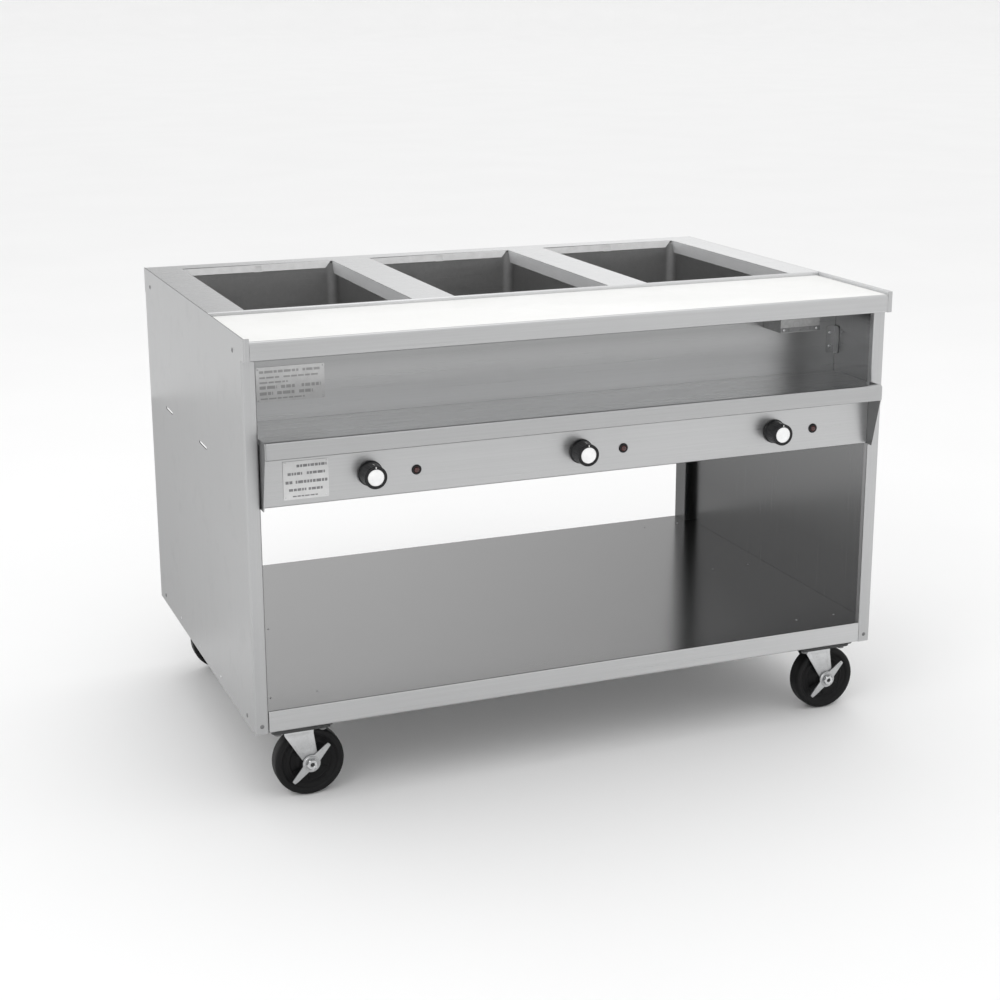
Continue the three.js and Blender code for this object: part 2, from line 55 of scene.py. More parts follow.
# Millimetres from the left end's outer face, the front jamb's face and the floor.
W, D, H = 1219.2, 792.0, 838.2
KNOB_X, KNOB_Z, PANEL_Y = [214, 602.6, 991.2], 590, 3
WELL_X, WELL_W, WELL_Y0, WELL_Y1 = [67, 455.6, 844.2], 308, 240, 746
WHEEL_Z, TRAIL = 62.957, 22
NAMES = ["left", "middle", "right"]


def P(x, y, z):
    return ((x - 609.6) / 1000.0, (y - 376.0) / 1000.0, z / 1000.0)


# ------------------------------------------------------------------ materials
class Mat:
    """A Principled material with procedural inputs, in object coordinates."""

    def __init__(self, name, colour=(0.8, 0.8, 0.8), rough=0.5, metal=0.0, **sockets):
        self.m = bpy.data.materials.new(name)
        self.m.use_nodes = True
        self.t = self.m.node_tree
        self.t.nodes.clear()
        self.out = self.t.nodes.new("ShaderNodeOutputMaterial")
        self.b = self.t.nodes.new("ShaderNodeBsdfPrincipled")
        self.t.links.new(self.b.outputs[0], self.out.inputs[0])
        self.co = self.t.nodes.new("ShaderNodeTexCoord").outputs["Object"]
        self.b.inputs["Base Color"].default_value = (*colour, 1)
        self.b.inputs["Roughness"].default_value = rough
        self.b.inputs["Metallic"].default_value = metal
        for k, v in sockets.items():
            self.b.inputs[k.replace("_", " ")].default_value = v
        self.m.diffuse_color = (*colour, 1)

    def node(self, kind, **props):
        n = self.t.nodes.new(kind)
        for k, v in props.items():
            setattr(n, k, v)
        return n

    def put(self, source, target):
        self.t.links.new(source, target)

    def vec(self, scale=(1, 1, 1), turn=(0, 0, 0), move=(0, 0, 0)):
        n = self.node("ShaderNodeMapping")
        n.inputs["Scale"].default_value = scale
        n.inputs["Rotation"].default_value = turn
        n.inputs["Location"].default_value = move
        self.put(self.co, n.inputs["Vector"])
        return n.outputs[0]

    def noise(self, scale, detail=2.0, rough=0.5, turn=(0, 0, 0), move=(0, 0, 0), distort=0.0):
        n = self.node("ShaderNodeTexNoise")
        if isinstance(scale, (int, float)):
            scale = (scale,) * 3
        self.put(self.vec(scale, turn, move), n.inputs["Vector"])
        n.inputs["Scale"].default_value = 1.0
        n.inputs["Detail"].default_value = detail
        n.inputs["Roughness"].default_value = rough
        n.inputs["Distortion"].default_value = distort
        return n.outputs["Fac"]

    def voronoi(self, scale, feature="F1", move=(0, 0, 0)):
        n = self.node("ShaderNodeTexVoronoi", feature=feature)
        if isinstance(scale, (int, float)):
            scale = (scale,) * 3
        self.put(self.vec(scale, (0, 0, 0), move), n.inputs["Vector"])
        n.inputs["Scale"].default_value = 1.0
        return n

    def ramp(self, fac, *stops):
        n = self.node("ShaderNodeValToRGB")
        e = n.color_ramp.elements
        while len(e) < len(stops):
            e.new(0.5)
        for s, (at, c) in zip(e, stops):
            s.position = at
            s.color = (c, c, c, 1) if isinstance(c, (int, float)) else (*c, 1)
        self.put(fac, n.inputs[0])
        return n.outputs[0]

    def math(self, op, a, b=0.0, c=None, clamp=False):
        n = self.node("ShaderNodeMath", operation=op, use_clamp=clamp)
        for i, x in enumerate((a, b) if c is None else (a, b, c)):
            if isinstance(x, (int, float)):
                n.inputs[i].default_value = x
            else:
                self.put(x, n.inputs[i])
        return n.outputs[0]

    def span(self, fac, lo, hi, f0=0.0, f1=1.0):
        n = self.node("ShaderNodeMapRange")
        self.put(fac, n.inputs["Value"])
        for k, v in (("From Min", f0), ("From Max", f1), ("To Min", lo), ("To Max", hi)):
            n.inputs[k].default_value = v
        return n.outputs[0]

    def mix(self, fac, a, b, blend="MIX"):
        n = self.node("ShaderNodeMix", data_type="RGBA", blend_type=blend)
        for sock, x in ((n.inputs["Factor"], fac), (n.inputs[6], a), (n.inputs[7], b)):
            if isinstance(x, (int, float)):
                sock.default_value = x
            elif isinstance(x, tuple):
                sock.default_value = (*x, 1)
            else:
                self.put(x, sock)
        return n.outputs[2]

    def bump(self, height, strength, distance, under=None):
        n = self.node("ShaderNodeBump")
        n.inputs["Strength"].default_value = strength
        n.inputs["Distance"].default_value = distance
        self.put(height, n.inputs["Height"])
        if under is not None:
            self.put(under, n.inputs["Normal"])
        return n.outputs[0]

    def axis(self, which):
        n = self.node("ShaderNodeSeparateXYZ")
        self.put(self.co, n.inputs[0])
        return n.outputs[which]

    def graded(self, colour, *grades):
        """Multiplies a colour by slow ramps along an axis, as painted light and shade: (axis, from, to, value there,
        value there).
        """
        for which, f0, f1, v0, v1 in grades:
            colour = self.mix(1.0, colour, self.span(self.axis(which), v0, v1, f0, f1), "MULTIPLY")
        return colour

    def scratches(self, seed, long=9.0, fine=900.0, cut=0.74):
        """Sparse hairline marks in two directions, 0 or 1."""
        total = None
        for k in range(2):
            turn = (0.6 + seed + k, 0.9 * seed + 1.7 * k, 0.35 + 1.1 * k + seed)
            f = self.noise((long, fine, fine), 1.0, 0.4, turn, (seed * 3.1, k * 5.7, seed))
            line = self.ramp(f, (cut, 0.0), (cut + 0.035, 1.0))
            total = line if total is None else self.math("MAXIMUM", total, line)
        return total

    def finish(self, colour=None, rough=None, normal=None, metal=None):
        for v, s in ((colour, "Base Color"), (rough, "Roughness"), (normal, "Normal"), (metal, "Metallic")):
            if v is not None:
                self.put(v, self.b.inputs[s])
        return self.m


def grey(v, warm=0.0):
    return (v * (1 + warm), v, v * (1 - warm))


def brushed(name, base, rough, grain="x", fine=2400.0, var=0.07, rvar=0.10, depth=0.35, seed=0.0, warm=-0.006, grades=(), marks=0.30):
    """Number 4 brushed sheet: long hairlines along the grain, faint clouding, handling marks, and the grades' painted
    light and shade.
    """
    k = Mat(name, grey(base, warm), rough, 1.0)
    s, wide = [fine] * 3, [fine / 7.0] * 3
    s["xyz".index(grain)] = 7.0
    wide["xyz".index(grain)] = 2.2
    hair = k.noise(s, 3.0, 0.62, move=(seed, seed * 2, 0))
    band = k.noise(wide, 2.0, 0.5, move=(3 + seed, 0, seed))
    cloud = k.noise(3.1, 3.0, 0.5, move=(seed * 5, 1, 2))
    touch = k.noise(17.0, 4.0, 0.62, move=(seed, 9, 4), distort=0.4)
    tone = k.math("ADD", k.math("MULTIPLY", hair, 0.55), k.math("MULTIPLY", band, 0.45))
    colour = k.ramp(tone, (0.28, grey(base * (1 - var), warm)), (0.72, grey(base * (1 + var), warm)))
    colour = k.mix(k.span(cloud, 0.0, 0.16, 0.35, 0.7), colour, grey(base * 0.84, warm))
    prints = k.ramp(touch, (0.56, 0.0), (0.74, 1.0))
    scr = k.scratches(seed + 0.3)
    colour = k.mix(k.math("MULTIPLY", scr, marks), colour, grey(min(0.95, base * 1.22), warm))
    r = k.span(tone, rough - rvar, rough + rvar, 0.25, 0.75)
    r = k.math("ADD", r, k.math("MULTIPLY", prints, 0.055 * min(1.0, marks / 0.3)))
    r = k.math("ADD", r, k.math("MULTIPLY", scr, 0.2 * marks), clamp=True)
    n = k.bump(hair, depth, 0.00006)
    n = k.bump(cloud, 0.10, 0.003, n)
    return k.finish(k.graded(colour, *grades), r, n)


# painted shade: the end sheets and jambs darken towards the floor and towards the left, and brighten towards the right
STEEL_END = brushed("brushed_end_sheet", 0.51, 0.36, "z", seed=1.0, grades=(("Z", 0.16, 0.46, 0.88, 1.0), ("X", -0.61, 0.61, 0.965, 1.07)))
# painted shade: a dark sheet for the shade inside the bay, with painted light brightening it towards the top
STEEL_SHADE_INSIDE = brushed("painted_shade_inside", 0.23, 0.24, "z", fine=1500.0, var=0.035, rvar=0.05, depth=0.12, seed=6.0,
                       grades=(("Z", 0.30, 0.54, 1.0, 1.5),), marks=0.0)
# painted shade: a dark tone for the shadowed top edge of a sheet
EDGE_SHADE = brushed("painted_shade_edge", 0.20, 0.55, "y", var=0.08, seed=9.0)
# painted highlight: paler than the deck, with a rougher real finish
STEEL_LIP_HIGHLIGHT = brushed("brushed_lip_painted_highlight", 0.82, 0.60, "x", seed=7.0)
# painted light and shade: the front sheets and the shelf nose darken to the left and brighten to the right
STEEL_FRONT = brushed("brushed_front_sheet", 0.53, 0.33, "x", seed=2.0, grades=(("X", -0.61, 0.61, 0.93, 1.07),))
STEEL_NOSE = brushed("brushed_shelf_nose", 0.47, 0.34, "x", seed=2.5, grades=(("X", -0.61, 0.61, 0.94, 1.05),))
# painted shade: the plate shelf darkens towards the recess wall under the ledge
STEEL_SHELF = brushed("brushed_plate_shelf", 0.66, 0.30, "x", var=0.04, depth=0.1, seed=8.0, grades=(("Y", -0.390, -0.206, 1.08, 0.70),), marks=0.0)
# painted shade: the deck darkens towards the left end
STEEL_DECK = brushed("brushed_deck_sheet", 0.66, 0.30, "x", seed=3.0, grades=(("X", -0.61, -0.25, 0.80, 1.0),))
# painted shadow under the ledge at the wall's top, and painted light brightening its foot
STEEL_WALL = brushed("brushed_recess_sheet", 0.60, 0.29, "x", var=0.035, rvar=0.03, depth=0.05, seed=4.0, grades=(("Z", 0.704, 0.752, 1.0, 0.62), ("Z", 0.655, 0.715, 1.14, 1.04)), marks=0.0)
STEEL_BACK = brushed("brushed_rear_sheet", 0.54, 0.40, "x", seed=5.0)


def galvanised(name, base, rough, cell=95.0, seed=0.0, contrast=0.16, cloudy=0.35, marks=0.35):
    """Zinc-coated sheet: faint crystal spangle, drawing streaks and dull patches."""
    k = Mat(name, grey(base), rough, 1.0)
    v = k.voronoi(cell, "F1", (seed, seed * 2, 0))
    spark = k.math("FRACT", k.math("MULTIPLY", k.noise(cell * 0.55, 1.0, 0.4, move=(seed, 3, 1)), 7.3))
    crystal = k.mix(0.5, v.outputs["Color"], spark)
    bw = k.node("ShaderNodeRGBToBW")
    k.put(crystal, bw.inputs[0])
    dull = k.noise(5.0, 4.0, 0.6, move=(seed, 0, 5))
    streak = k.noise((3.0, 420.0, 420.0), 2.0, 0.5, move=(0, seed, 0))
    colour = k.ramp(bw.outputs[0], (0.15, grey(base * (1 - contrast))), (0.85, grey(base * (1 + contrast))))
    colour = k.mix(k.span(dull, 0.0, cloudy, 0.45, 0.75), colour, grey(base * 0.72))
    scr = k.scratches(seed + 0.8, 7.0, 700.0, 0.72)
    colour = k.mix(k.math("MULTIPLY", scr, marks), colour, grey(min(0.9, base * 1.45)))
    live = min(1.0, cloudy / 0.35)
    r = k.math("ADD", k.span(bw.outputs[0], rough - 0.05 * live, rough + 0.06 * live), k.span(dull, -0.03 * live, 0.09 * live, 0.4, 0.8))
    r = k.math("ADD", r, k.span(streak, -0.03 * live, 0.03 * live, 0.3, 0.7), clamp=True)
    n = k.bump(streak, 0.25 * live, 0.00006)
    return k.finish(colour, r, n)


SHELF = galvanised("galvanised_shelf_sheet", 0.47, 0.19, 110.0, 1.0, 0.012, 0.03, 0.0)
LINER = galvanised("galvanised_liner_sheet", 0.42, 0.38, 150.0, 2.0, 0.05, 0.2)
HIDDEN = galvanised("galvanised_housing_sheet", 0.46, 0.42, 80.0, 3.0, 0.14)


def zinc(name, base=0.60, rough=0.30, seed=0.0, patch=0.45, grades=()):
    """Bright zinc plating: fine orange peel, dull spots and grime in patches, and the grades' painted shade."""
    k = Mat(name, grey(base, -0.01), rough, 1.0)
    fine = k.noise(900.0, 2.0, 0.6, move=(seed, 0, 0))
    spot = k.noise(120.0, 4.0, 0.65, move=(0, seed, 1))
    dirt = k.ramp(spot, (0.55, 0.0), (0.72, 1.0))
    colour = k.ramp(k.noise(240.0, 3.0, 0.6, move=(seed, 4, 2)), (0.3, grey(base * (1 - patch * 0.3), -0.01)), (0.7, grey(base * (1 + patch * 0.22), -0.01)))
    colour = k.mix(k.math("MULTIPLY", dirt, patch), colour, (base * 0.42, base * 0.40, base * 0.37))
    r = k.math("ADD", k.span(fine, rough - 0.05, rough + 0.07, 0.3, 0.7), k.math("MULTIPLY", dirt, 0.22), clamp=True)
    return k.finish(k.graded(colour, *grades), r, k.bump(fine, 0.25, 0.00008))


ZINC = zinc("zinc_plated_steel", 0.52, 0.34, 0.0, 0.14)
# painted shade: the fork darkens towards the axle
ZINC_FORK = zinc("zinc_plated_fork", 0.62, 0.30, 1.0, 0.16, (("Z", 0.066, 0.112, 0.55, 1.0),))
ZINC_DARK = zinc("zinc_plate_dull", 0.24, 0.45, 3.0)
SCREW = zinc("screw_steel", 0.66, 0.24, 6.0)
DARK = zinc("dark_base_steel", 0.085, 0.5, 9.0)


def board():
    k = Mat("white_polyethylene", (0.93, 0.93, 0.915), 0.42, 0.0, Subsurface_Weight=0.08, Subsurface_Scale=0.004)
    k.b.inputs["Subsurface Radius"].default_value = (1.0, 1.0, 0.95)
    total = None
    for i, (a, cut) in enumerate(((0.12, 0.66), (1.45, 0.68), (0.78, 0.70), (-0.5, 0.69))):
        f = k.noise((16.0, 1100.0, 1100.0), 1.5, 0.5, (0, 0, a), (i * 7.0, i * 3.0, 0))
        area = k.ramp(k.noise(4.2, 2.0, 0.5, move=(i * 9.0, 2, 0)), (0.42, 0.0), (0.62, 1.0))
        line = k.math("MULTIPLY", k.ramp(f, (cut, 0.0), (cut + 0.03, 1.0)), area)
        total = line if total is None else k.math("MAXIMUM", total, line)
    grain = k.noise(1400.0, 2.0, 0.6)
    stain = k.noise(6.0, 5.0, 0.6, distort=0.6)
    colour = k.ramp(stain, (0.35, (0.835, 0.835, 0.825)), (0.75, (0.79, 0.79, 0.775)))
    colour = k.mix(k.math("MULTIPLY", total, 0.5), colour, (0.74, 0.735, 0.71))
    r = k.math("ADD", k.span(grain, 0.36, 0.48, 0.3, 0.7), k.math("MULTIPLY", total, 0.15), clamp=True)
    n = k.bump(grain, 0.35, 0.00010)
    n = k.bump(k.math("SUBTRACT", 1.0, total), 0.5, 0.00025, n)
    return k.finish(colour, r, n)


BOARD = board()


def moulded(name, base, rough, seed=0.0, coarse=700.0, dust=0.25, spec=0.5):
    k = Mat(name, base, rough, 0.0, Specular_IOR_Level=spec)
    fine = k.noise(coarse, 3.0, 0.6, move=(seed, 0, 0))
    wide = k.noise(38.0, 4.0, 0.6, move=(0, seed, 0))
    colour = k.ramp(fine, (0.3, tuple(c * 0.75 for c in base)), (0.7, tuple(c * 1.3 for c in base)))
    film = k.ramp(wide, (0.5, 0.0), (0.78, 1.0))
    colour = k.mix(k.math("MULTIPLY", film, dust), colour, tuple(c * 1.8 + 0.03 for c in base))
    r = k.math("ADD", k.span(fine, rough - 0.07, rough + 0.08, 0.3, 0.7), k.math("MULTIPLY", film, 0.12), clamp=True)
    return k.finish(colour, r, k.bump(fine, 0.35, 0.00012))


BLACK = moulded("black_phenolic", (0.008, 0.008, 0.009), 0.34, 1.0, 900.0, 0.06, 0.32)
TYRE = moulded("black_tread_rubber", (0.006, 0.006, 0.0063), 0.50, 2.0, 520.0, 0.05, 0.20)
HUBP = moulded("black_wheel_core", (0.005, 0.005, 0.0053), 0.42, 3.0, 420.0, 0.04, 0.18)
PHENOL = moulded("brown_switch_body", (0.11, 0.075, 0.05), 0.5, 4.0, 500.0, 0.2)
INK = moulded("grey_print", (0.19, 0.19, 0.195), 0.55, 5.0, 1500.0, 0.5)

MARK = moulded("white_fill_paint", (0.82, 0.82, 0.80), 0.5, 7.0, 1500.0, 0.05)
CERAMIC = moulded("white_ceramic", (0.78, 0.76, 0.70), 0.45, 8.0, 600.0, 0.1)


def metal_face(name, base, rough, rings=None, metal=1.0):
    """Spun or satin face: fine rings about a line along Y, or an even satin."""
    k = Mat(name, grey(base), rough, metal)
    fine = k.noise(1500.0, 3.0, 0.6)
    cloud = k.noise(60.0, 3.0, 0.6)
    height = fine
    if rings is not None:
        d = k.vec((1, 0, 1), move=(-rings[0], 0, -rings[1]))
        ln = k.node("ShaderNodeVectorMath", operation="LENGTH")
        k.put(d, ln.inputs[0])
        height = k.math("SINE", k.math("MULTIPLY", ln.outputs["Value"], 15000.0))
        height = k.math("ADD", k.math("MULTIPLY", height, 0.25), fine)
    colour = k.ramp(cloud, (0.3, grey(base * 0.93)), (0.7, grey(min(0.98, base * 1.05))))
    r = k.span(fine, rough - 0.05, rough + 0.08, 0.3, 0.7)
    return k.finish(colour, r, k.bump(height, 0.25, 0.00006))


# painted highlight: near-white, mostly diffuse steel for the rear lips' bright look
LIP_REAR_HIGHLIGHT = metal_face("painted_highlight_rear_lip", 0.95, 0.5, None, 0.2)
GUSSET = brushed("shaded_gusset_side", 0.22, 0.34, "z", var=0.05, seed=10.0)
LABEL = metal_face("satin_label_sheet", 0.64, 0.44, None, 0.35)
LABEL_OLD = metal_face("faded_label_sheet", 0.62, 0.32, None, 1.0)
INK_PALE = metal_face("worn_grey_print", 0.40, 0.36, None, 0.9)
CHROME = metal_face("bright_bezel", 0.75, 0.16)
BRASS = Mat("terminal_brass", (0.62, 0.47, 0.22), 0.32, 1.0)
_f = BRASS.noise(700.0, 3.0, 0.6)
BRASS = BRASS.finish(BRASS.ramp(_f, (0.3, (0.50, 0.37, 0.17)), (0.7, (0.68, 0.52, 0.26))), BRASS.span(_f, 0.25, 0.42, 0.3, 0.7), BRASS.bump(_f, 0.2, 0.0001))


def lens():
    k = Mat("dark_red_lens", (0.055, 0.006, 0.005), 0.16, 0.0, Coat_Weight=0.6, Coat_Roughness=0.06, IOR=1.49)
    f = k.noise(420.0, 3.0, 0.6)
    facet = k.voronoi(900.0)
    return k.finish(k.ramp(f, (0.3, (0.035, 0.004, 0.003)), (0.7, (0.075, 0.009, 0.007))),
                    k.span(f, 0.12, 0.24, 0.3, 0.7), k.bump(facet.outputs["Distance"], 0.3, 0.0002))


LENS = lens()


def sheath():
    k = Mat("oxidised_sheath", (0.14, 0.125, 0.115), 0.5, 0.85)
    f, g = k.noise(320.0, 4.0, 0.65), k.noise(22.0, 4.0, 0.6)
    c = k.ramp(f, (0.3, (0.10, 0.09, 0.085)), (0.7, (0.19, 0.17, 0.155)))
    c = k.mix(k.ramp(g, (0.5, 0.0), (0.7, 0.7)), c, (0.30, 0.285, 0.26))
    return k.finish(c, k.span(f, 0.42, 0.62, 0.3, 0.7), k.bump(f, 0.5, 0.00025))


SHEATH = sheath()


def wool():
    k = Mat("mineral_wool", (0.62, 0.55, 0.36), 0.95)
    f = k.noise((60.0, 900.0, 900.0), 4.0, 0.7, distort=1.2)
    g = k.noise((900.0, 70.0, 700.0), 4.0, 0.7, distort=1.0)
    h = k.math("MAXIMUM", f, g)
    return k.finish(k.ramp(h, (0.4, (0.46, 0.39, 0.24)), (0.75, (0.74, 0.68, 0.48))), None, k.bump(h, 0.9, 0.002))


WOOL = wool()


# ------------------------------------------------------------------- geometry
class Soup:
    """Faces gathered in millimetres, each with a material number."""

    def __init__(self):
        self.v, self.f, self.m = [], [], []

    def add(self, part, mat=0, move=(0, 0, 0)):
        v, f = part
        n = len(self.v)
        self.v += [(a + move[0], b + move[1], c + move[2]) for a, b, c in v]
        self.f += [tuple(i + n for i in q) for q in f]
        self.m += [mat] * len(f)
        return self


def axis_point(axis, u, v, h):
    return {"x": (h, u, v), "y": (u, h, v), "z": (u, v, h)}[axis]


def lathe(prof, at=(0, 0, 0), axis="y", n=48, phase=0.0, wave=None):
    """A turned body about an axis. wave(row, angle) scales a row's radius."""
    v, f, rings = [], [], []
    for i, (r, h) in enumerate(prof):
        if r < 1e-6:
            rings.append([len(v)])
            v.append(axis_point(axis, 0, 0, h))
        else:
            rings.append(list(range(len(v), len(v) + n)))
            for k in range(n):
                a = 2 * PI * (k + phase) / n
                q = r * (wave(i, a) if wave else 1.0)
                v.append(axis_point(axis, q * math.cos(a), q * math.sin(a), h))
    for a, b in zip(rings, rings[1:]):
        if len(a) == 1 and len(b) == 1:
            continue
        for k in range(n):
            j = (k + 1) % n
            if len(a) == 1:
                f.append((a[0], b[j], b[k]))
            elif len(b) == 1:
                f.append((a[k], a[j], b[0]))
            else:
                f.append((a[k], a[j], b[j], b[k]))
    return [(p[0] + at[0], p[1] + at[1], p[2] + at[2]) for p in v], f


def soft(pts, r, seg=3, closed=False):
    """Rounds the corners of a 2-D line by radius r, or by one radius a corner."""
    out, n = [], len(pts)
    for i, p in enumerate(pts):
        rr = r[i] if isinstance(r, (list, tuple)) else r
        if (not closed and i in (0, n - 1)) or rr <= 0:
            out.append(tuple(p))
            continue
        a, b, c = Vector(pts[i - 1]), Vector(p), Vector(pts[(i + 1) % n])
        u, w = a - b, c - b
        lu, lw = u.length, w.length
        if lu < 1e-6 or lw < 1e-6:
            out.append(tuple(p))
            continue
        u, w = u / lu, w / lw
        ang = math.acos(max(-1, min(1, u.dot(w))))
        if ang > PI - 0.03 or ang < 0.03:
            out.append(tuple(p))
            continue
        t = min(rr / math.tan(ang / 2), 0.45 * lu, 0.45 * lw)
        rad = t * math.tan(ang / 2)
        c0 = b + (u + w).normalized() * (rad / math.sin(ang / 2))
        a0, a1 = b + u * t - c0, b + w * t - c0
        th = math.acos(max(-1, min(1, a0.dot(a1) / (rad * rad))))
        for k in range(seg + 1):
            s = k / seg
            q = (a0 * math.sin((1 - s) * th) + a1 * math.sin(s * th)) / math.sin(th)
            out.append(tuple(c0 + q))
    return out


def rrect(x0, x1, y0, y1, r, seg=6):
    out = []
    for cx, cy, a in ((x1 - r, y1 - r, 0), (x0 + r, y1 - r, 1), (x0 + r, y0 + r, 2), (x1 - r, y0 + r, 3)):
        for k in range(seg + 1):
            t = (a + k / seg) * PI / 2
            out.append((cx + r * math.cos(t), cy + r * math.sin(t)))
    return out


def prism(outline, a0, a1, axis):
    """A 2-D outline between two planes across an axis: (y, z) for x, (x, z) for y, (x, y) for z."""
    n = len(outline)
    v = [axis_point(axis, p[0], p[1], a0) for p in outline] + [axis_point(axis, p[0], p[1], a1) for p in outline]
    f = [tuple(range(n)), tuple(range(2 * n - 1, n - 1, -1))]
    f += [(k, (k + 1) % n, n + (k + 1) % n, n + k) for k in range(n)]
    return v, f


def tube(pts, r, n=14, caps=True):
    pts = [Vector(p) for p in pts]
    v, f = [], []
    t0 = (pts[1] - pts[0]).normalized()
    up = t0.orthogonal().normalized()
    for i, p in enumerate(pts):
        a, b = pts[max(0, i - 1)], pts[min(len(pts) - 1, i + 1)]
        t = (b - a).normalized()
        up = (up - t * up.dot(t)).normalized()
        side = t.cross(up)
        for k in range(n):
            q = 2 * PI * k / n
            v.append(tuple(p + (up * math.cos(q) + side * math.sin(q)) * r))
    for i in range(len(pts) - 1):
        for k in range(n):
            j = (k + 1) % n
            f.append((i * n + k, i * n + j, (i + 1) * n + j, (i + 1) * n + k))
    if caps:
        f.append(tuple(range(n - 1, -1, -1)))
        f.append(tuple(range(len(v) - n, len(v))))
    return v, f


def round_path(pts, r, seg=8):
    """Rounds the inner corners of a path in space."""
    out = [Vector(pts[0])]
    for i in range(1, len(pts) - 1):
        a, b, c = Vector(pts[i - 1]), Vector(pts[i]), Vector(pts[i + 1])
        u, w = (a - b).normalized(), (c - b).normalized()
        ang = math.acos(max(-1, min(1, u.dot(w))))
        t = r / math.tan(ang / 2)
        c0 = b + (u + w).normalized() * (r / math.sin(ang / 2))
        a0, a1 = b + u * t - c0, b + w * t - c0
        th = math.acos(max(-1, min(1, a0.dot(a1) / (r * r))))
        for k in range(seg + 1):
            s = k / seg
            out.append(c0 + (a0 * math.sin((1 - s) * th) + a1 * math.sin(s * th)) / math.sin(th))
    out.append(Vector(pts[-1]))
    return out


def mesh_object(name, soup, mats):
    me = bpy.data.meshes.new(name)
    me.from_pydata([P(*p) for p in soup.v], [], soup.f)
    for m in mats:
        me.materials.append(m)
    me.polygons.foreach_set("material_index", soup.m)
    bm = bmesh.new()
    bm.from_mesh(me)
    bmesh.ops.remove_doubles(bm, verts=bm.verts, dist=2e-7)
    bmesh.ops.recalc_face_normals(bm, faces=bm.faces)
    bm.to_mesh(me)
    bm.free()
    o = bpy.data.objects.new(name, me)
    bpy.context.scene.collection.objects.link(o)
    return o


def smooth(o, angle=35):
    o.data.shade_smooth()
    o.data.set_sharp_from_angle(angle=math.radians(angle))


def bevel(o, width, segs=2, angle=40):
    m = o.modifiers.new("soft_edges", "BEVEL")
    m.width = width / 1000.0
    m.segments = segs
    m.limit_method = "ANGLE"
    m.angle_limit = math.radians(angle)
    m.harden_normals = True
    m.miter_outer = "MITER_ARC"
    return m


def piece(name, soup, mats, body, replaces=(), edge=0.0, segs=2, angle=35):
    o = mesh_object(name, soup, mats if isinstance(mats, list) else [mats])
    smooth(o, angle)
    if edge:
        bevel(o, edge, segs)
    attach(o, body)
    if replaces:
        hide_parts(*([replaces] if isinstance(replaces, str) else replaces))
    return o


def cut(o, *tools):
    """Cuts tool meshes out of an object and keeps the result as its mesh."""
    for t in tools:
        m = o.modifiers.new("cut", "BOOLEAN")
        m.operation, m.solver, m.object = "DIFFERENCE", "EXACT", t
    dg = bpy.context.evaluated_depsgraph_get()
    me = bpy.data.meshes.new_from_object(o.evaluated_get(dg))
    old = o.data
    o.modifiers.clear()
    o.data = me
    bpy.data.meshes.remove(old)
    for t in tools:
        bpy.data.objects.remove(t)
    return o


def dressed(node, mat, edge=0.35, segs=2, angle=32):
    """A CAD sheet kept as it is, with a material, smooth bends and softened edges."""
    o = nodes[node]
    o.data.materials.clear()
    o.data.materials.append(mat)
    smooth(o, angle)
    if edge:
        bevel(o, edge, segs, 50)
    return o


# -------------------------------------------------------------- small hardware
def template(kind):
    """A screw or rivet head about +Z at the origin, in millimetres."""
    if kind == "truss":  # low pan head with a cross recess
        prof = [(0, 1.9)] + [(4.6 * math.sin(a), 0.25 + 1.65 * math.cos(a)) for a in [i * PI / 18 for i in range(1, 9)]] + [(4.7, 0.2), (4.6, -0.4), (0, -0.4)]
        arm, wide, deep = 2.7, 0.62, 0.9
    elif kind == "flat":  # nearly flush countersunk head
        prof = [(0, 0.62), (2.2, 0.6), (3.6, 0.5), (4.1, 0.34), (4.3, 0.1), (4.3, -0.3), (0, -0.3)]
        arm, wide, deep = 2.3, 0.55, 0.2
    else:  # blind rivet: dome with the broken stem's pit
        prof = [(0, 0.45), (0.8, 0.45), (0.95, 1.05), (1.25, 1.15), (2.3, 0.9), (3.0, 0.45), (3.25, 0.05), (3.2, -0.3), (0, -0.3)]
        return lathe(prof, axis="z", n=20)
    s = Soup().add(lathe(prof, (609.6, 376, 0), "z", 28))
    o = mesh_object("tmp_head", s, [SCREW])
    tools = []
    for a in (0, 1):
        lx, ly = (arm, wide) if a == 0 else (wide, arm)
        top = 0.62 if kind == "flat" else 1.9
        out = [(-lx, -ly), (lx, -ly), (lx, ly), (-lx, ly)]
        v, f = prism(out, top - deep, 4, "z")
        v = [(x * (0.72 if z < 3 else 1), y * (0.72 if z < 3 else 1), z) for x, y, z in v]
        tools.append(mesh_object("tmp_tool", Soup().add((v, f), 0, (609.6, 376, 0)), []))
    cut(o, *tools)
    me = o.data
    v = [tuple(c * 1000 for c in x.co) for x in me.vertices]
    f = [tuple(p.vertices) for p in me.polygons]
    bpy.data.objects.remove(o)
    return v, f


HEADS = {k: template(k) for k in ("truss", "flat", "rivet")}
TURNS = {"+x": Matrix.Rotation(PI / 2, 3, "Y"), "-x": Matrix.Rotation(-PI / 2, 3, "Y"),
         "-y": Matrix.Rotation(PI / 2, 3, "X"), "+y": Matrix.Rotation(-PI / 2, 3, "X"),
         "+z": Matrix.Identity(3), "-z": Matrix.Rotation(PI, 3, "X")}


def head(kind, at, face, size=1.0):
    v, f = HEADS[kind]
    spin = Matrix.Rotation(rnd.uniform(0, PI), 3, "Z")
    m = TURNS[face] @ spin
    return [tuple(m @ Vector(p) * size + Vector(at)) for p in v], f


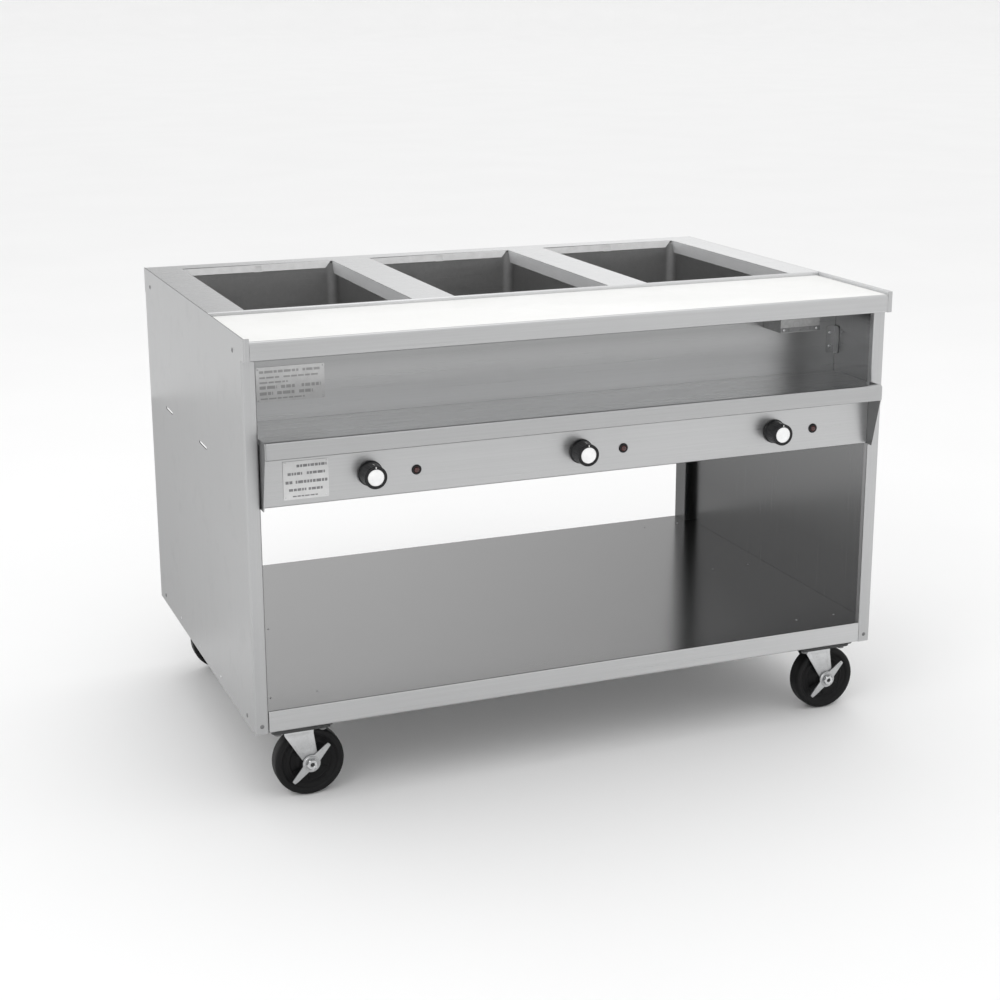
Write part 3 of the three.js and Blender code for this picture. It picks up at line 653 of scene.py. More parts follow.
def hexagon(r, a0, a1, at, axis, chamfer=0.9, bore=None):
    """Hexagon head or nut with its corners turned off at the a1 end."""
    v, f = [], []
    rows = [(a0, 0.0), (a1 - chamfer * (1 if a1 > a0 else -1), 0.0), (a1, chamfer)]
    for h, inset in rows:
        for k in range(24):
            a = 2 * PI * k / 24
            flat = r * math.cos(PI / 6)
            q = (a % (PI / 3)) - PI / 6
            rr = flat / math.cos(q)
            rr = min(rr, r - inset * 1.6) if inset else rr
            v.append(axis_point(axis, rr * math.cos(a), rr * math.sin(a), h))
    for i in range(2):
        for k in range(24):
            j = (k + 1) % 24
            f.append((i * 24 + k, i * 24 + j, (i + 1) * 24 + j, (i + 1) * 24 + k))
    f.append(tuple(range(23, -1, -1)))
    if bore:
        sgn = 1 if a1 > a0 else -1
        for rr, h in ((bore[0], a1), (bore[0] - 0.5, a1 - sgn * 0.5), (bore[0] - 0.5, a1 - sgn * bore[1])):
            v += [axis_point(axis, rr * math.cos(2 * PI * k / 24), rr * math.sin(2 * PI * k / 24), h) for k in range(24)]
        for i in range(2, 5):
            f += [(i * 24 + k, i * 24 + (k + 1) % 24, (i + 1) * 24 + (k + 1) % 24, (i + 1) * 24 + k) for k in range(24)]
        f.append(tuple(range(120, 144)))
    else:
        f.append(tuple(range(48, 72)))
    return [(p[0] + at[0], p[1] + at[1], p[2] + at[2]) for p in v], f


# ------------------------------------------------------- sheets kept from CAD
for n, m in {
    "end_panel_left": STEEL_END, "end_panel_right": STEEL_END, "top_deck": STEEL_DECK,
    "front_fascia": STEEL_FRONT, "plate_shelf": STEEL_FRONT, "control_panel": STEEL_FRONT,
    "gusset_left": STEEL_FRONT, "gusset_right": STEEL_FRONT, "recess_back_wall": STEEL_WALL,
    "rear_panel": STEEL_BACK, "bottom_shelf": SHELF, "base_channel_left": DARK,
    "base_channel_right": DARK, "well_housing": HIDDEN, "wiring_cover": HIDDEN,
    "junction_box": HIDDEN,
}.items():
    dressed(n, m)


def second(node, mat, test):
    """A second material on the CAD faces that the test picks, by centre and normal in millimetres."""
    me = nodes[node].data
    me.materials.append(mat)
    k = len(me.materials) - 1
    for p in me.polygons:
        c = (p.center.x * 1000 + 609.6, p.center.y * 1000 + 376, p.center.z * 1000)
        if test(c, p.normal):
            p.material_index = k


# the openings' turned-down lips are a rougher finish, made paler as a painted highlight
second("top_deck", STEEL_LIP_HIGHLIGHT, lambda c, n: abs(n.z) < 0.4 and c[2] < 837.2 and 239 < c[1] < 749 and 60 < c[0] < 1160)
# painted highlight on the rear lip's face
second("top_deck", LIP_REAR_HIGHLIGHT, lambda c, n: n.y < -0.8 and c[2] < 837.2 and 744 < c[1] < 749)
# painted shade: a dark line along the left end's top edge
second("end_panel_left", EDGE_SHADE, lambda c, n: n.z > 0.9 and c[2] > 837)
# painted shade: the ends' inside faces are a dark sheet, brushed rail along the shelf's front
second("end_panel_left", STEEL_SHADE_INSIDE, lambda c, n: n.x > 0.6 and c[0] < 3 and c[2] < 812)
second("end_panel_right", STEEL_SHADE_INSIDE, lambda c, n: n.x < -0.6 and c[0] > W - 3 and c[2] < 812)
second("bottom_shelf", STEEL_FRONT, lambda c, n: c[1] < 4 and n.y < -0.5)
for g in ("gusset_left", "gusset_right"):
    second(g, GUSSET, lambda c, n: abs(n.x) > 0.5)
second("plate_shelf", STEEL_NOSE, lambda c, n: n.y < -0.5 and c[1] < -36)
second("plate_shelf", STEEL_SHELF, lambda c, n: n.z > 0.6 and 640 < c[2] < 657)
# the ends' top strips are a painted reflection of the white board, the rear lips are painted shade
second("end_panel_left", STEEL_LIP_HIGHLIGHT, lambda c, n: n.x > 0.6 and c[0] < 3 and c[2] > 812.3)
second("end_panel_right", STEEL_LIP_HIGHLIGHT, lambda c, n: n.x < -0.6 and c[0] > W - 3 and c[2] > 812.3)
second("end_panel_left", STEEL_SHADE_INSIDE, lambda c, n: n.x > 0.6 and 17 < c[0] < 21 and c[1] > 740)
second("end_panel_right", STEEL_SHADE_INSIDE, lambda c, n: n.x < -0.6 and 17 < W - c[0] < 21 and c[1] > 740)
dressed("insulation_pad", WOOL, 3.0, 3)
for c in ("front_left", "front_right", "rear_left", "rear_right"):
    dressed("caster_plate_" + c, DARK, 0.5)
dressed("supply_gland", BLACK, 0.5)

# -------------------------------------------------------------- cutting board
s = Soup()
x0, x1, y0, y1, z0, z1 = 6.0, 1213.2, -9.0, 235.6, 819.2, 831.9
rings = []
for z, inset in ((z0, 1.8), (z0 + 0.6, 0.75), (z0 + 1.8, 0.0), (z1 - 2.2, 0.0), (z1 - 0.9, 0.45), (z1 - 0.25, 1.25), (z1, 2.4)):
    rings.append([(x, y, z) for x, y in rrect(x0 + inset, x1 - inset, y0 + inset, y1 - inset, 5.0, 6)])
n = len(rings[0])
v = [p for r in rings for p in r]
f = [tuple(range(n - 1, -1, -1)), tuple(range(len(v) - n, len(v)))]
f += [(i * n + k, i * n + (k + 1) % n, (i + 1) * n + (k + 1) % n, (i + 1) * n + k) for i in range(len(rings) - 1) for k in range(n)]
s.add((v, f))
piece("board_slab", s, BOARD, "cutting_board", "cutting_board", angle=50)

# ---------------------------------------------------------- wells and heaters
for i, nm in enumerate(NAMES):
    x0, x1 = WELL_X[i], WELL_X[i] + WELL_W
    xc, o, t, zt, yi, yb = (x0 + x1) / 2, 10, 1.5, H - 2.0, WELL_Y0 - 0.5, WELL_Y1 + 10
    rows = []  # inside from rim to floor, then outside back up

    def row(grow, z):
        return [(x, y, z) for x, y in rrect(x0 - o - grow, x1 + o + grow, yi - grow, yb + grow, 20 + grow, 8)]

    fillet = [(14 * (1 - math.sin(a)), 14 * (1 - math.cos(a))) for a in [q * PI / 12 for q in range(7)]]
    rows.append(row(0.8, zt - 3.0))
    rows.append(row(0.2, zt - 4.5))
    for z in (zt - 8, 800, 760, 700):
        rows.append(row(0.0, z))
    for q in range(7):
        a = q * PI / 12
        g = -14 * (1 - math.cos(a))
        z = 641.5 + 14 * (1 - math.sin(a))
        rr = 20 + g
        rows.append([(x, y, z) for x, y in rrect(x0 - o - g, x1 + o + g, yi - g, yb + g, max(rr, 6), 8)])
    inner = len(rows)
    for q in range(6, -1, -1):
        a = q * PI / 12
        g = -14 * (1 - math.cos(a)) + t * math.cos(a)
        z = 641.5 + 14 * (1 - math.sin(a)) - t * math.sin(a)
        rows.append([(x, y, z) for x, y in rrect(x0 - o - g, x1 + o + g, yi - g, yb + g, max(20 + g, 6), 8)])
    rows.append(row(t, 700))
    rows.append(row(t, zt - 3.0))
    # rows of the outside start with a larger g, so the walls keep their thickness
    n = len(rows[0])
    v = [p for r in rows for p in r]
    f = [(a * n + k, a * n + (k + 1) % n, (a + 1) * n + (k + 1) % n, (a + 1) * n + k) for a in range(len(rows) - 1) for k in range(n)]
    f += [((len(rows) - 1) * n + k, (len(rows) - 1) * n + (k + 1) % n, (k + 1) % n, k) for k in range(n)]
    f.append(tuple((inner - 1) * n + k for k in range(n)))
    f.append(tuple(inner * n + k for k in range(n - 1, -1, -1)))
    s = Soup().add((v, f))
    # hanging rim on three sides
    z = zt - t
    rim_o = rrect(x0 - o - t - 8.5, x1 + o + t + 8.5, yi + 24, yb + t + 8.5, 8, 5)
    for a, b in (((x0 - o - t - 8.5), x0 - o - t + 0.1), (x1 + o + t - 0.1, x1 + o + t + 8.5)):
        s.add(prism([(a, yi + 24), (b, yi + 24), (b, yb - 20), (a, yb - 20)], z, zt, "z"))
    s.add(prism([(x0 + 12, yb + t - 0.1), (x1 - 12, yb + t - 0.1), (x1 - 12, yb + t + 8.5), (x0 + 12, yb + t + 8.5)], z, zt, "z"))
    piece("well_liner_" + nm, s, LINER, "cabinet", "well_pan_" + nm, angle=40)

    z = 668
    P0 = [(xc - 32, 214, z), (xc - 32, 300, z), (xc - 112, 300, z), (xc - 112, 690, z), (xc + 112, 690, z), (xc + 112, 300, z), (xc + 32, 300, z), (xc + 32, 214, z)]
    s = Soup().add(tube(round_path(P0, 28, 9), 4.0, 16))
    for dx in (-32, 32):
        s.add(hexagon(8.6, 241.3, 246.5, (xc + dx, 0, z), "y", 0.8), 1)
        s.add(lathe([(4.1, 246.4), (7.2, 246.6), (7.4, 248.0), (4.1, 248.4)], (xc + dx, 0, z), "y", 24), 1)
        s.add(lathe([(4.0, 222), (5.2, 222), (5.2, 228), (4.0, 228)], (xc + dx, 0, z), "y", 20), 2)
        s.add(lathe([(0, 206), (1.6, 206.2), (1.9, 207), (1.9, 216), (0, 216)], (xc + dx, 0, z), "y", 14), 1)
        s.add(hexagon(3.6, 211, 208.6, (xc + dx, 0, z), "y", 0.3), 1)
    piece("element_tube_" + nm, s, [SHEATH, BRASS, CERAMIC], "cabinet", "heating_element_" + nm, angle=40)
    s = Soup()
    for dx in (-112, 112):
        for yc in (390, 590):
            bend = [(-17, 642.2), (-8, 642.2), (-6.2, 643.4), (-5.6, 646), (-5.6, 668)]
            bend += [(-5.6 * math.cos(a), 668 + 5.6 * math.sin(a)) for a in [q * PI / 8 for q in range(1, 8)]]
            bend += [(5.6, 668), (5.6, 646), (6.2, 643.4), (8, 642.2), (17, 642.2)]
            low = [(p[0] * 0.86 if abs(p[0]) < 6.5 else p[0], p[1] - (0.0 if abs(p[0]) < 6.5 and p[1] < 668 else 0.9)) for p in bend]
            m = len(bend)
            v = [(xc + dx + a, yc + e, b) for e in (-6, 6) for a, b in bend] + [(xc + dx + a, yc + e, b) for e in (-6, 6) for a, b in low]
            f = []
            for k in range(m - 1):
                f += [(k, k + 1, m + k + 1, m + k), (2 * m + k, 3 * m + k, 3 * m + k + 1, 2 * m + k + 1),
                      (k, 2 * m + k, 2 * m + k + 1, k + 1), (m + k, m + k + 1, 3 * m + k + 1, 3 * m + k)]
            f += [(0, m, 3 * m, 2 * m), (m - 1, 3 * m - 1, 4 * m - 1, 2 * m - 1)]
            s.add((v, f))
    piece("element_clips_" + nm, s, ZINC_DARK, "cabinet", angle=30)

# ---------------------------------------------------------------------- knobs
for i, nm in enumerate(NAMES):
    x = KNOB_X[i]
    f0 = -33.0
    prof = soft([(3.6, -1.8), (17.2, -1.8), (17.2, 2.2), (22.0, 2.2), (22.0, -1.6), (20.6, -3.2), (20.2, -6.0), (19.7, f0 + 1.4), (19.0, f0), (15.2, f0), (14.9, f0 + 1.3), (14.6, f0 + 1.6), (0, f0 + 1.6)],
                [0, 0.3, 0.3, 0.5, 0.8, 0.9, 0.9, 0.9, 0.9, 0.35, 0, 0, 0], 3)
    # more rows along the grip, so that its flutes run cleanly
    rows = []
    for a, b in zip(prof, prof[1:]):
        rows.append(a)
        if a[1] - b[1] > 6:
            rows += [(a[0] + (b[0] - a[0]) * q / 5, a[1] + (b[1] - a[1]) * q / 5) for q in range(1, 5)]
    rows.append(prof[-1])

    def flutes(k, a, rows=rows, f0=f0):
        r, h = rows[k]
        if r < 18.6 or h > -6.5 or h < f0 + 1.2:
            return 1.0
        fade = min(1.0, (-6.5 - h) / 2.5, (h - f0 - 1.2) / 1.6)
        w = math.cos(30 * a)
        return 1.0 - fade * 0.020 * (max(0.0, w) ** 0.6)

    s = Soup().add(lathe(rows, (x, 0, KNOB_Z), "y", 240, wave=flutes))
    s.add(lathe([(3.7, -1.9), (7.0, -1.9), (7.0, 1.4), (3.7, 1.4), (3.7, -1.9)], (x, 0, KNOB_Z), "y", 32))
    # pointer line over the front edge and down the grip, at the top of the dial
    bar = soft([(-0.75, f0 + 1.9), (0.75, f0 + 1.9), (0.75, f0 - 0.05), (-0.75, f0 - 0.05)], 0, closed=True)
    s.add(prism([(x - 0.75, KNOB_Z + 15.5), (x + 0.75, KNOB_Z + 15.5), (x + 0.75, KNOB_Z + 18.9), (x - 0.75, KNOB_Z + 18.9)], f0 - 0.06, f0 + 0.5, "y"), 1)
    s.add(prism([(x - 0.75, KNOB_Z + 19.0), (x + 0.75, KNOB_Z + 19.0), (x + 0.75, KNOB_Z + 20.0), (x - 0.75, KNOB_Z + 20.0)], -24.0, -8.0, "y"), 1)
    # ticks round the skirt
    for q in range(11):
        a = math.radians(60 + 30 * q)
        u, w = math.sin(a), math.cos(a)
        c, d = math.cos(a), -math.sin(a)
        pts = [(x + u * r + c * e, KNOB_Z + w * r + d * e) for r, e in ((20.9, -0.35), (21.7, -0.35), (21.7, 0.35), (20.9, 0.35))]
        s.add(prism(pts, -2.05, -1.2, "y"), 1)
    piece("knob_grip_" + nm, s, [BLACK, MARK], f"knob_{nm}", f"knob_{nm}", angle=38)
    cap = soft([(0, f0 + 0.62), (6.8, f0 + 0.62), (7.4, f0 + 0.9), (8.0, f0 + 0.62), (13.2, f0 + 0.55), (14.3, f0 + 1.1), (14.35, f0 + 1.75), (0, f0 + 1.75)], 0.35, 2)
    piece("knob_cap_" + nm, Soup().add(lathe(cap, (x, 0, KNOB_Z), "y", 96)),
          metal_face("spun_cap_" + nm, 0.90, 0.42, ((x - 609.6) / 1000, KNOB_Z / 1000), 0.25), f"knob_{nm}", angle=25)

    # pilot light: bezel and lens, with the CAD body's clip behind the panel
    px = x + 83
    yb = PANEL_Y - 0.3
    s = Soup().add(lathe(soft([(4.7, yb), (8.8, yb), (8.8, yb - 0.6), (7.6, yb - 2.0), (5.4, yb - 2.05), (5.0, yb - 1.2), (4.7, yb), (4.7, yb + 0.02)], 0.35, 2), (px, 0, 587.5), "y", 48), 0)
    s.add(lathe([(4.4, 4.9), (4.4, 27.0), (3.4, 28.6), (0, 28.6)], (px, 0, 587.5), "y", 28), 1)
    s.add(lathe([(4.5, 6.4), (7.6, 6.4), (7.6, 8.6), (4.5, 8.6), (4.5, 6.4)], (px, 0, 587.5), "y", 28), 1)
    for e in (-2.2, 2.2):
        s.add(prism([(px + e - 0.4, 585.4), (px + e + 0.4, 585.4), (px + e + 0.4, 589.6), (px + e - 0.4, 589.6)], 28.4, 34.5, "y"), 2)
    piece("pilot_bezel_" + nm, s, [BLACK, BLACK, BRASS], "cabinet", angle=30)
    dome = [(0, yb - 4.5)] + [(5.1 * math.sin(a), yb - 1.2 - 3.3 * math.cos(a)) for a in [q * PI / 16 for q in range(1, 8)]] + [(5.15, yb - 0.9), (4.6, yb + 0.2), (4.5, 5.6), (0, 5.6)]
    piece("pilot_lens_" + nm, Soup().add(lathe(dome, (px, 0, 587.5), "y", 48)), LENS, "cabinet", f"pilot_light_{nm}", angle=50)

    # switch body with terminals
    y = PANEL_Y + 2.0
    s = Soup().add(prism(soft([(x - 20, KNOB_Z - 20), (x + 20, KNOB_Z - 20), (x + 20, KNOB_Z + 20), (x - 20, KNOB_Z + 20)], 3, 4, True), y + 1.2, y + 34, "y"), 0)
    s.add(prism(soft([(x - 21.5, KNOB_Z - 14), (x + 21.5, KNOB_Z - 14), (x + 21.5, KNOB_Z + 14), (x - 21.5, KNOB_Z + 14)], 2, 3, True), y + 0.1, y + 1.4, "y"), 1)
    s.add(lathe([(0, -20), (2.4, -20), (3.0, -19.4), (3.0, 2.0), (5.0, 2.2), (5.0, y + 0.4), (0, y + 0.4)], (x, 0, KNOB_Z), "y", 28), 1)
    for dx, dz in ((-12, -12), (12, -12), (-12, 12), (12, 12), (0, 0)):
        s.add(prism([(x + dx - 3.2, KNOB_Z + dz - 0.4), (x + dx + 3.2, KNOB_Z + dz - 0.4), (x + dx + 3.2, KNOB_Z + dz + 0.4), (x + dx - 3.2, KNOB_Z + dz + 0.4)], y + 33, y + 43, "y"), 2)
        s.add(lathe([(0, y + 37), (3.1, y + 37), (3.1, y + 34), (0, y + 34)], (x + dx, 0, KNOB_Z + dz + (6 if dz <= 0 else -6)), "y", 16), 2)
    piece("switch_case_" + nm, s, [PHENOL, ZINC_DARK, BRASS], "cabinet", "control_switch_" + nm, edge=0.3)

# --------------------------------------------------------------------- plates
def label(name, node, box, y, rows, mat, ink, frame_ink=None):
    """A thin plate with rows of plain bars, u and w from 0 to 1 across and down."""
    x0, x1, z0, z1 = box
    s = Soup().add(prism(rrect(x0, x1, z0, z1, 2.4, 5), y, y + 0.8, "y"), 0)
    wide, high = x1 - x0, z1 - z0
    for w, thick, runs in rows:
        for a, b in runs:
            u = a
            while u < b - 0.005:
                e = min(b, u + rnd.uniform(0.035, 0.12))
                zc = z1 - w * high
                s.add(prism(soft([(x0 + u * wide, zc - thick / 2), (x0 + e * wide, zc - thick / 2), (x0 + e * wide, zc + thick / 2), (x0 + u * wide, zc + thick / 2)], 0.3, 2, True), y - 0.06, y + 0.3, "y"), 1)
                u = e + 0.016
    if frame_ink:
        g = frame_ink
        for a, b, c, d in ((x0 + g, x1 - g, z0 + g, z0 + g + 0.5), (x0 + g, x1 - g, z1 - g - 0.5, z1 - g), (x0 + g, x0 + g + 0.5, z0 + g, z1 - g), (x1 - g - 0.5, x1 - g, z0 + g, z1 - g)):
            s.add(prism([(a, c), (b, c), (b, d), (a, d)], y - 0.05, y + 0.3, "y"), 1)
    for u, w in ((x0 + 3.4, z0 + 3.4), (x1 - 3.4, z0 + 3.4), (x0 + 3.4, z1 - 3.4), (x1 - 3.4, z1 - 3.4)):
        s.add(head("rivet", (u, y, w), "-y", 0.45), 2)
    return piece(name, s, [mat, ink, SCREW], "cabinet", node, angle=40)


label("care_plate", "instruction_plate", (64, 142, 558, 623.5), PANEL_Y - 1.1,
      [(0.13, 4.6, [(0.30, 0.96)]), (0.33, 4.6, [(0.10, 0.42), (0.52, 0.92)]), (0.55, 5.0, [(0.05, 0.20), (0.27, 0.97)]),
       (0.75, 4.4, [(0.12, 0.52), (0.55, 0.86)]), (0.92, 2.2, [(0.2, 0.75)])], LABEL, INK)
label("data_plate", "rating_plate", (65, 187, 688, 750), 168 - 1.1,
      [(0.14, 4.4, [(0.05, 0.62), (0.68, 0.93)]), (0.30, 3.0, [(0.05, 0.34), (0.40, 0.90)]), (0.44, 3.0, [(0.05, 0.46)]),
       (0.58, 5.5, [(0.05, 0.30), (0.36, 0.56), (0.66, 0.94)]), (0.75, 5.5, [(0.05, 0.24), (0.30, 0.56), (0.62, 0.82)]), (0.90, 2.4, [(0.06, 0.70)])],
      LABEL_OLD, INK_PALE)

# doublers behind the notches in the rear lips, in the lips' painted highlight
s = Soup()
for x0 in WELL_X:
    xc = x0 + WELL_W / 2
    s.add(prism(soft([(xc - 10, 822.0), (xc + 10, 822.0), (xc + 10, 836.0), (xc - 10, 836.0)], [2.5, 2.5, 0.5, 0.5], 4, True), 747.7, 748.9, "y"))
piece("notch_doublers", s, [LIP_REAR_HIGHLIGHT], "cabinet", edge=0.2)

# ------------------------------------------------------------ recess fittings
for left in (True, False):
    xa, xb, e = (1198.0, 1215.4, 1217.1) if not left else (21.2, 3.8, 2.1)
    s = Soup()
    out = soft([(xa, 690.0), (xb, 690.0), (xb, 743.0), (xa, 743.0)], [5, 1, 1, 5], 5, True)
    s.add(prism(out, 166.5, 167.7, "y"))
    lo, hi = min(xb, e), max(xb, e)
    s.add(prism(soft([(152.0, 690.0), (167.7, 690.0), (167.7, 743.0), (152.0, 743.0)], [5, 1, 1, 5], 5, True), lo - 0.1, hi - 0.1, "x"))
    xs = 1206.0 if not left else 13.2
    s.add(head("truss", (xs, 166.5, 703), "-y", 0.85), 1)
    s.add(head("truss", (xs, 166.5, 730), "-y", 0.85), 1)
    piece("recess_tab_" + ("left" if left else "right"), s, [STEEL_NOSE, SCREW], "cabinet", edge=0.3)

# junction box trim: knockout ring, cover lip and two rivets
s = Soup()
for xk in (1085, 1113):
    s.add(lathe(soft([(7.2, 102.05), (7.2, 101.4), (8.2, 101.1), (9.2, 101.4), (9.2, 102.05)], 0.3, 2), (xk, 0, 784), "y", 40))
s.add(prism([(1056.2, 101.1), (1141.8, 101.1), (1141.8, 102.2), (1056.2, 102.2)], 751.0, 759.5, "z"))
for xk in (1064, 1134):
    s.add(head("truss", (xk, 101.1, 755.2), "-y", 0.6), 1)
piece("junction_trim", s, [ZINC_DARK, SCREW], "cabinet", edge=0.2)

# ------------------------------------------------------------ screws and rivets
s = Soup()
for y, z in ((54.5, 807), (738, 807), (54.5, 166), (738, 166)):  # ends
    s.add(head("truss", (0.7, y, z), "-x", 1.0), 1)
    s.add(head("truss", (W - 0.7, y, z), "+x", 1.0), 1)
for y in (250, 420, 590):  # base channel screws along the ends' lower edge
    for a, b in ((0, "-x"), (W, "+x")):
        s.add(head("rivet", (a, y, 166), b, 0.9))
for x in (12.2, W - 12.2):  # jambs
    s.add(head("truss", (x, 0.5, 164), "-y", 0.85), 1)
for x in (60, 330, 609.6, 889, 1159):  # rear panel
    for z in (577, 784):
        s.add(head("flat", (x, D, z), "+y", 1.0))
for x in (11, W - 11):
    for z in (175, 420, 700):
        s.add(head("rivet", (x, D, z), "+y", 1.0))
for x in (60, 420, 800, 1159):  # underside of the wiring cover
    s.add(head("truss", (x, 60, 549.0), "-z", 0.8))
for x in (44, 128, W - 44, W - 128):  # shelf spot rivets over the base channels
    for y in (60, 400, 730):
        s.add(head("rivet", (x, y, 189.0), "+z", 0.75))
piece("cabinet_fixings", s, [SCREW, ZINC_DARK], "cabinet", angle=30)

# --------------------------------------------------------------------- casters
CASTERS = [("front_left", 86, 66, True), ("front_right", W - 86, 66, True), ("rear_left", 86, 726, False), ("rear_right", W - 86, 726, False)]


def fork_mesh(cx, cy):
    """One bent sheet: crown with a bend to each tapering, round-ended leg."""
    top, yo, t, R = 132.0, 21.35, 3.0, 7.0
    path = []
    zs = [WHEEL_Z - 13 + 13 * (1 - math.cos(a)) for a in [q * PI / 20 for q in range(0, 11)]]
    zs = sorted(set(round(z, 3) for z in zs)) + [70, 76, 82, 85, 87, 89, 91.5, 96, 102, 108, 113, 116.5, 118.5, 120.5, 122.5]
    for z in zs:
        path.append((-yo, z, z))
    for q in range(1, 7):
        a = q * PI / 12
        path.append((-yo + R * (1 - math.cos(a)), top - R + R * math.sin(a), 124.9 + q))
    half = [(-y, z, w) for y, z, w in reversed(path)]
    path += [(-8, top, 132), (0, top, 132), (8, top, 132)] + half
    nx = 20
    rows = []
    for i, (y, z, w) in enumerate(path):
        if w < WHEEL_Z:
            e = math.sqrt(max(0.0, 169 - (WHEEL_Z - w) ** 2))
            xl, xr = TRAIL - e, TRAIL + e
        else:
            xl = TRAIL - 13 if w < 66 else max(-24.0, 9 - (w - 66) * 33 / 54.0)
            xr = TRAIL + 13 if w < 69 else max(28.0, 35 - (w - 69) * 7 / 49.0)
        if w >= 130.9:
            xl, xr = -26.0, 29.5
        a = path[max(0, i - 1)]
        b = path[min(len(path) - 1, i + 1)]
        ty, tz = b[0] - a[0], b[1] - a[1]
        l = math.hypot(ty, tz) or 1.0
        ny, nz = tz / l, -ty / l  # inward
        line = []
        for k in range(nx + 1):
            x = xl + (xr - xl) * k / nx
            edge = min(x - xl, xr - x)
            into = min(1.0, max(0.0, (edge - 5.0) / 3.0)) * min(1.0, max(0.0, (w - 85.0) / 5.0)) * min(1.0, max(0.0, (122.5 - w) / 5.0))
            into = 1.3 * into * into * (3 - 2 * into)
            line.append((x, y + (into if y < 0 else -into), z, ny, nz))
        rows.append(line)
    v, f = [], []
    for r in rows:
        v += [(cx + x, cy + y, z) for x, y, z, ny, nz in r]
    m = len(v)
    for r in rows:
        v += [(cx + x, cy + y + ny * t, z + nz * t) for x, y, z, ny, nz in r]
    w = nx + 1
    R_ = len(rows)
    for i in range(R_ - 1):
        for k in range(nx):
            f.append((i * w + k, i * w + k + 1, (i + 1) * w + k + 1, (i + 1) * w + k))
            f.append((m + i * w + k, m + (i + 1) * w + k, m + (i + 1) * w + k + 1, m + i * w + k + 1))
        f.append((i * w, (i + 1) * w, m + (i + 1) * w, m + i * w))
        f.append((i * w + nx, m + i * w + nx, m + (i + 1) * w + nx, (i + 1) * w + nx))
    for k in range(nx):
        f.append((k, m + k, m + k + 1, k + 1))
        e = (R_ - 1) * w
        f.append((e + k, e + k + 1, m + e + k + 1, m + e + k))
    return v, f


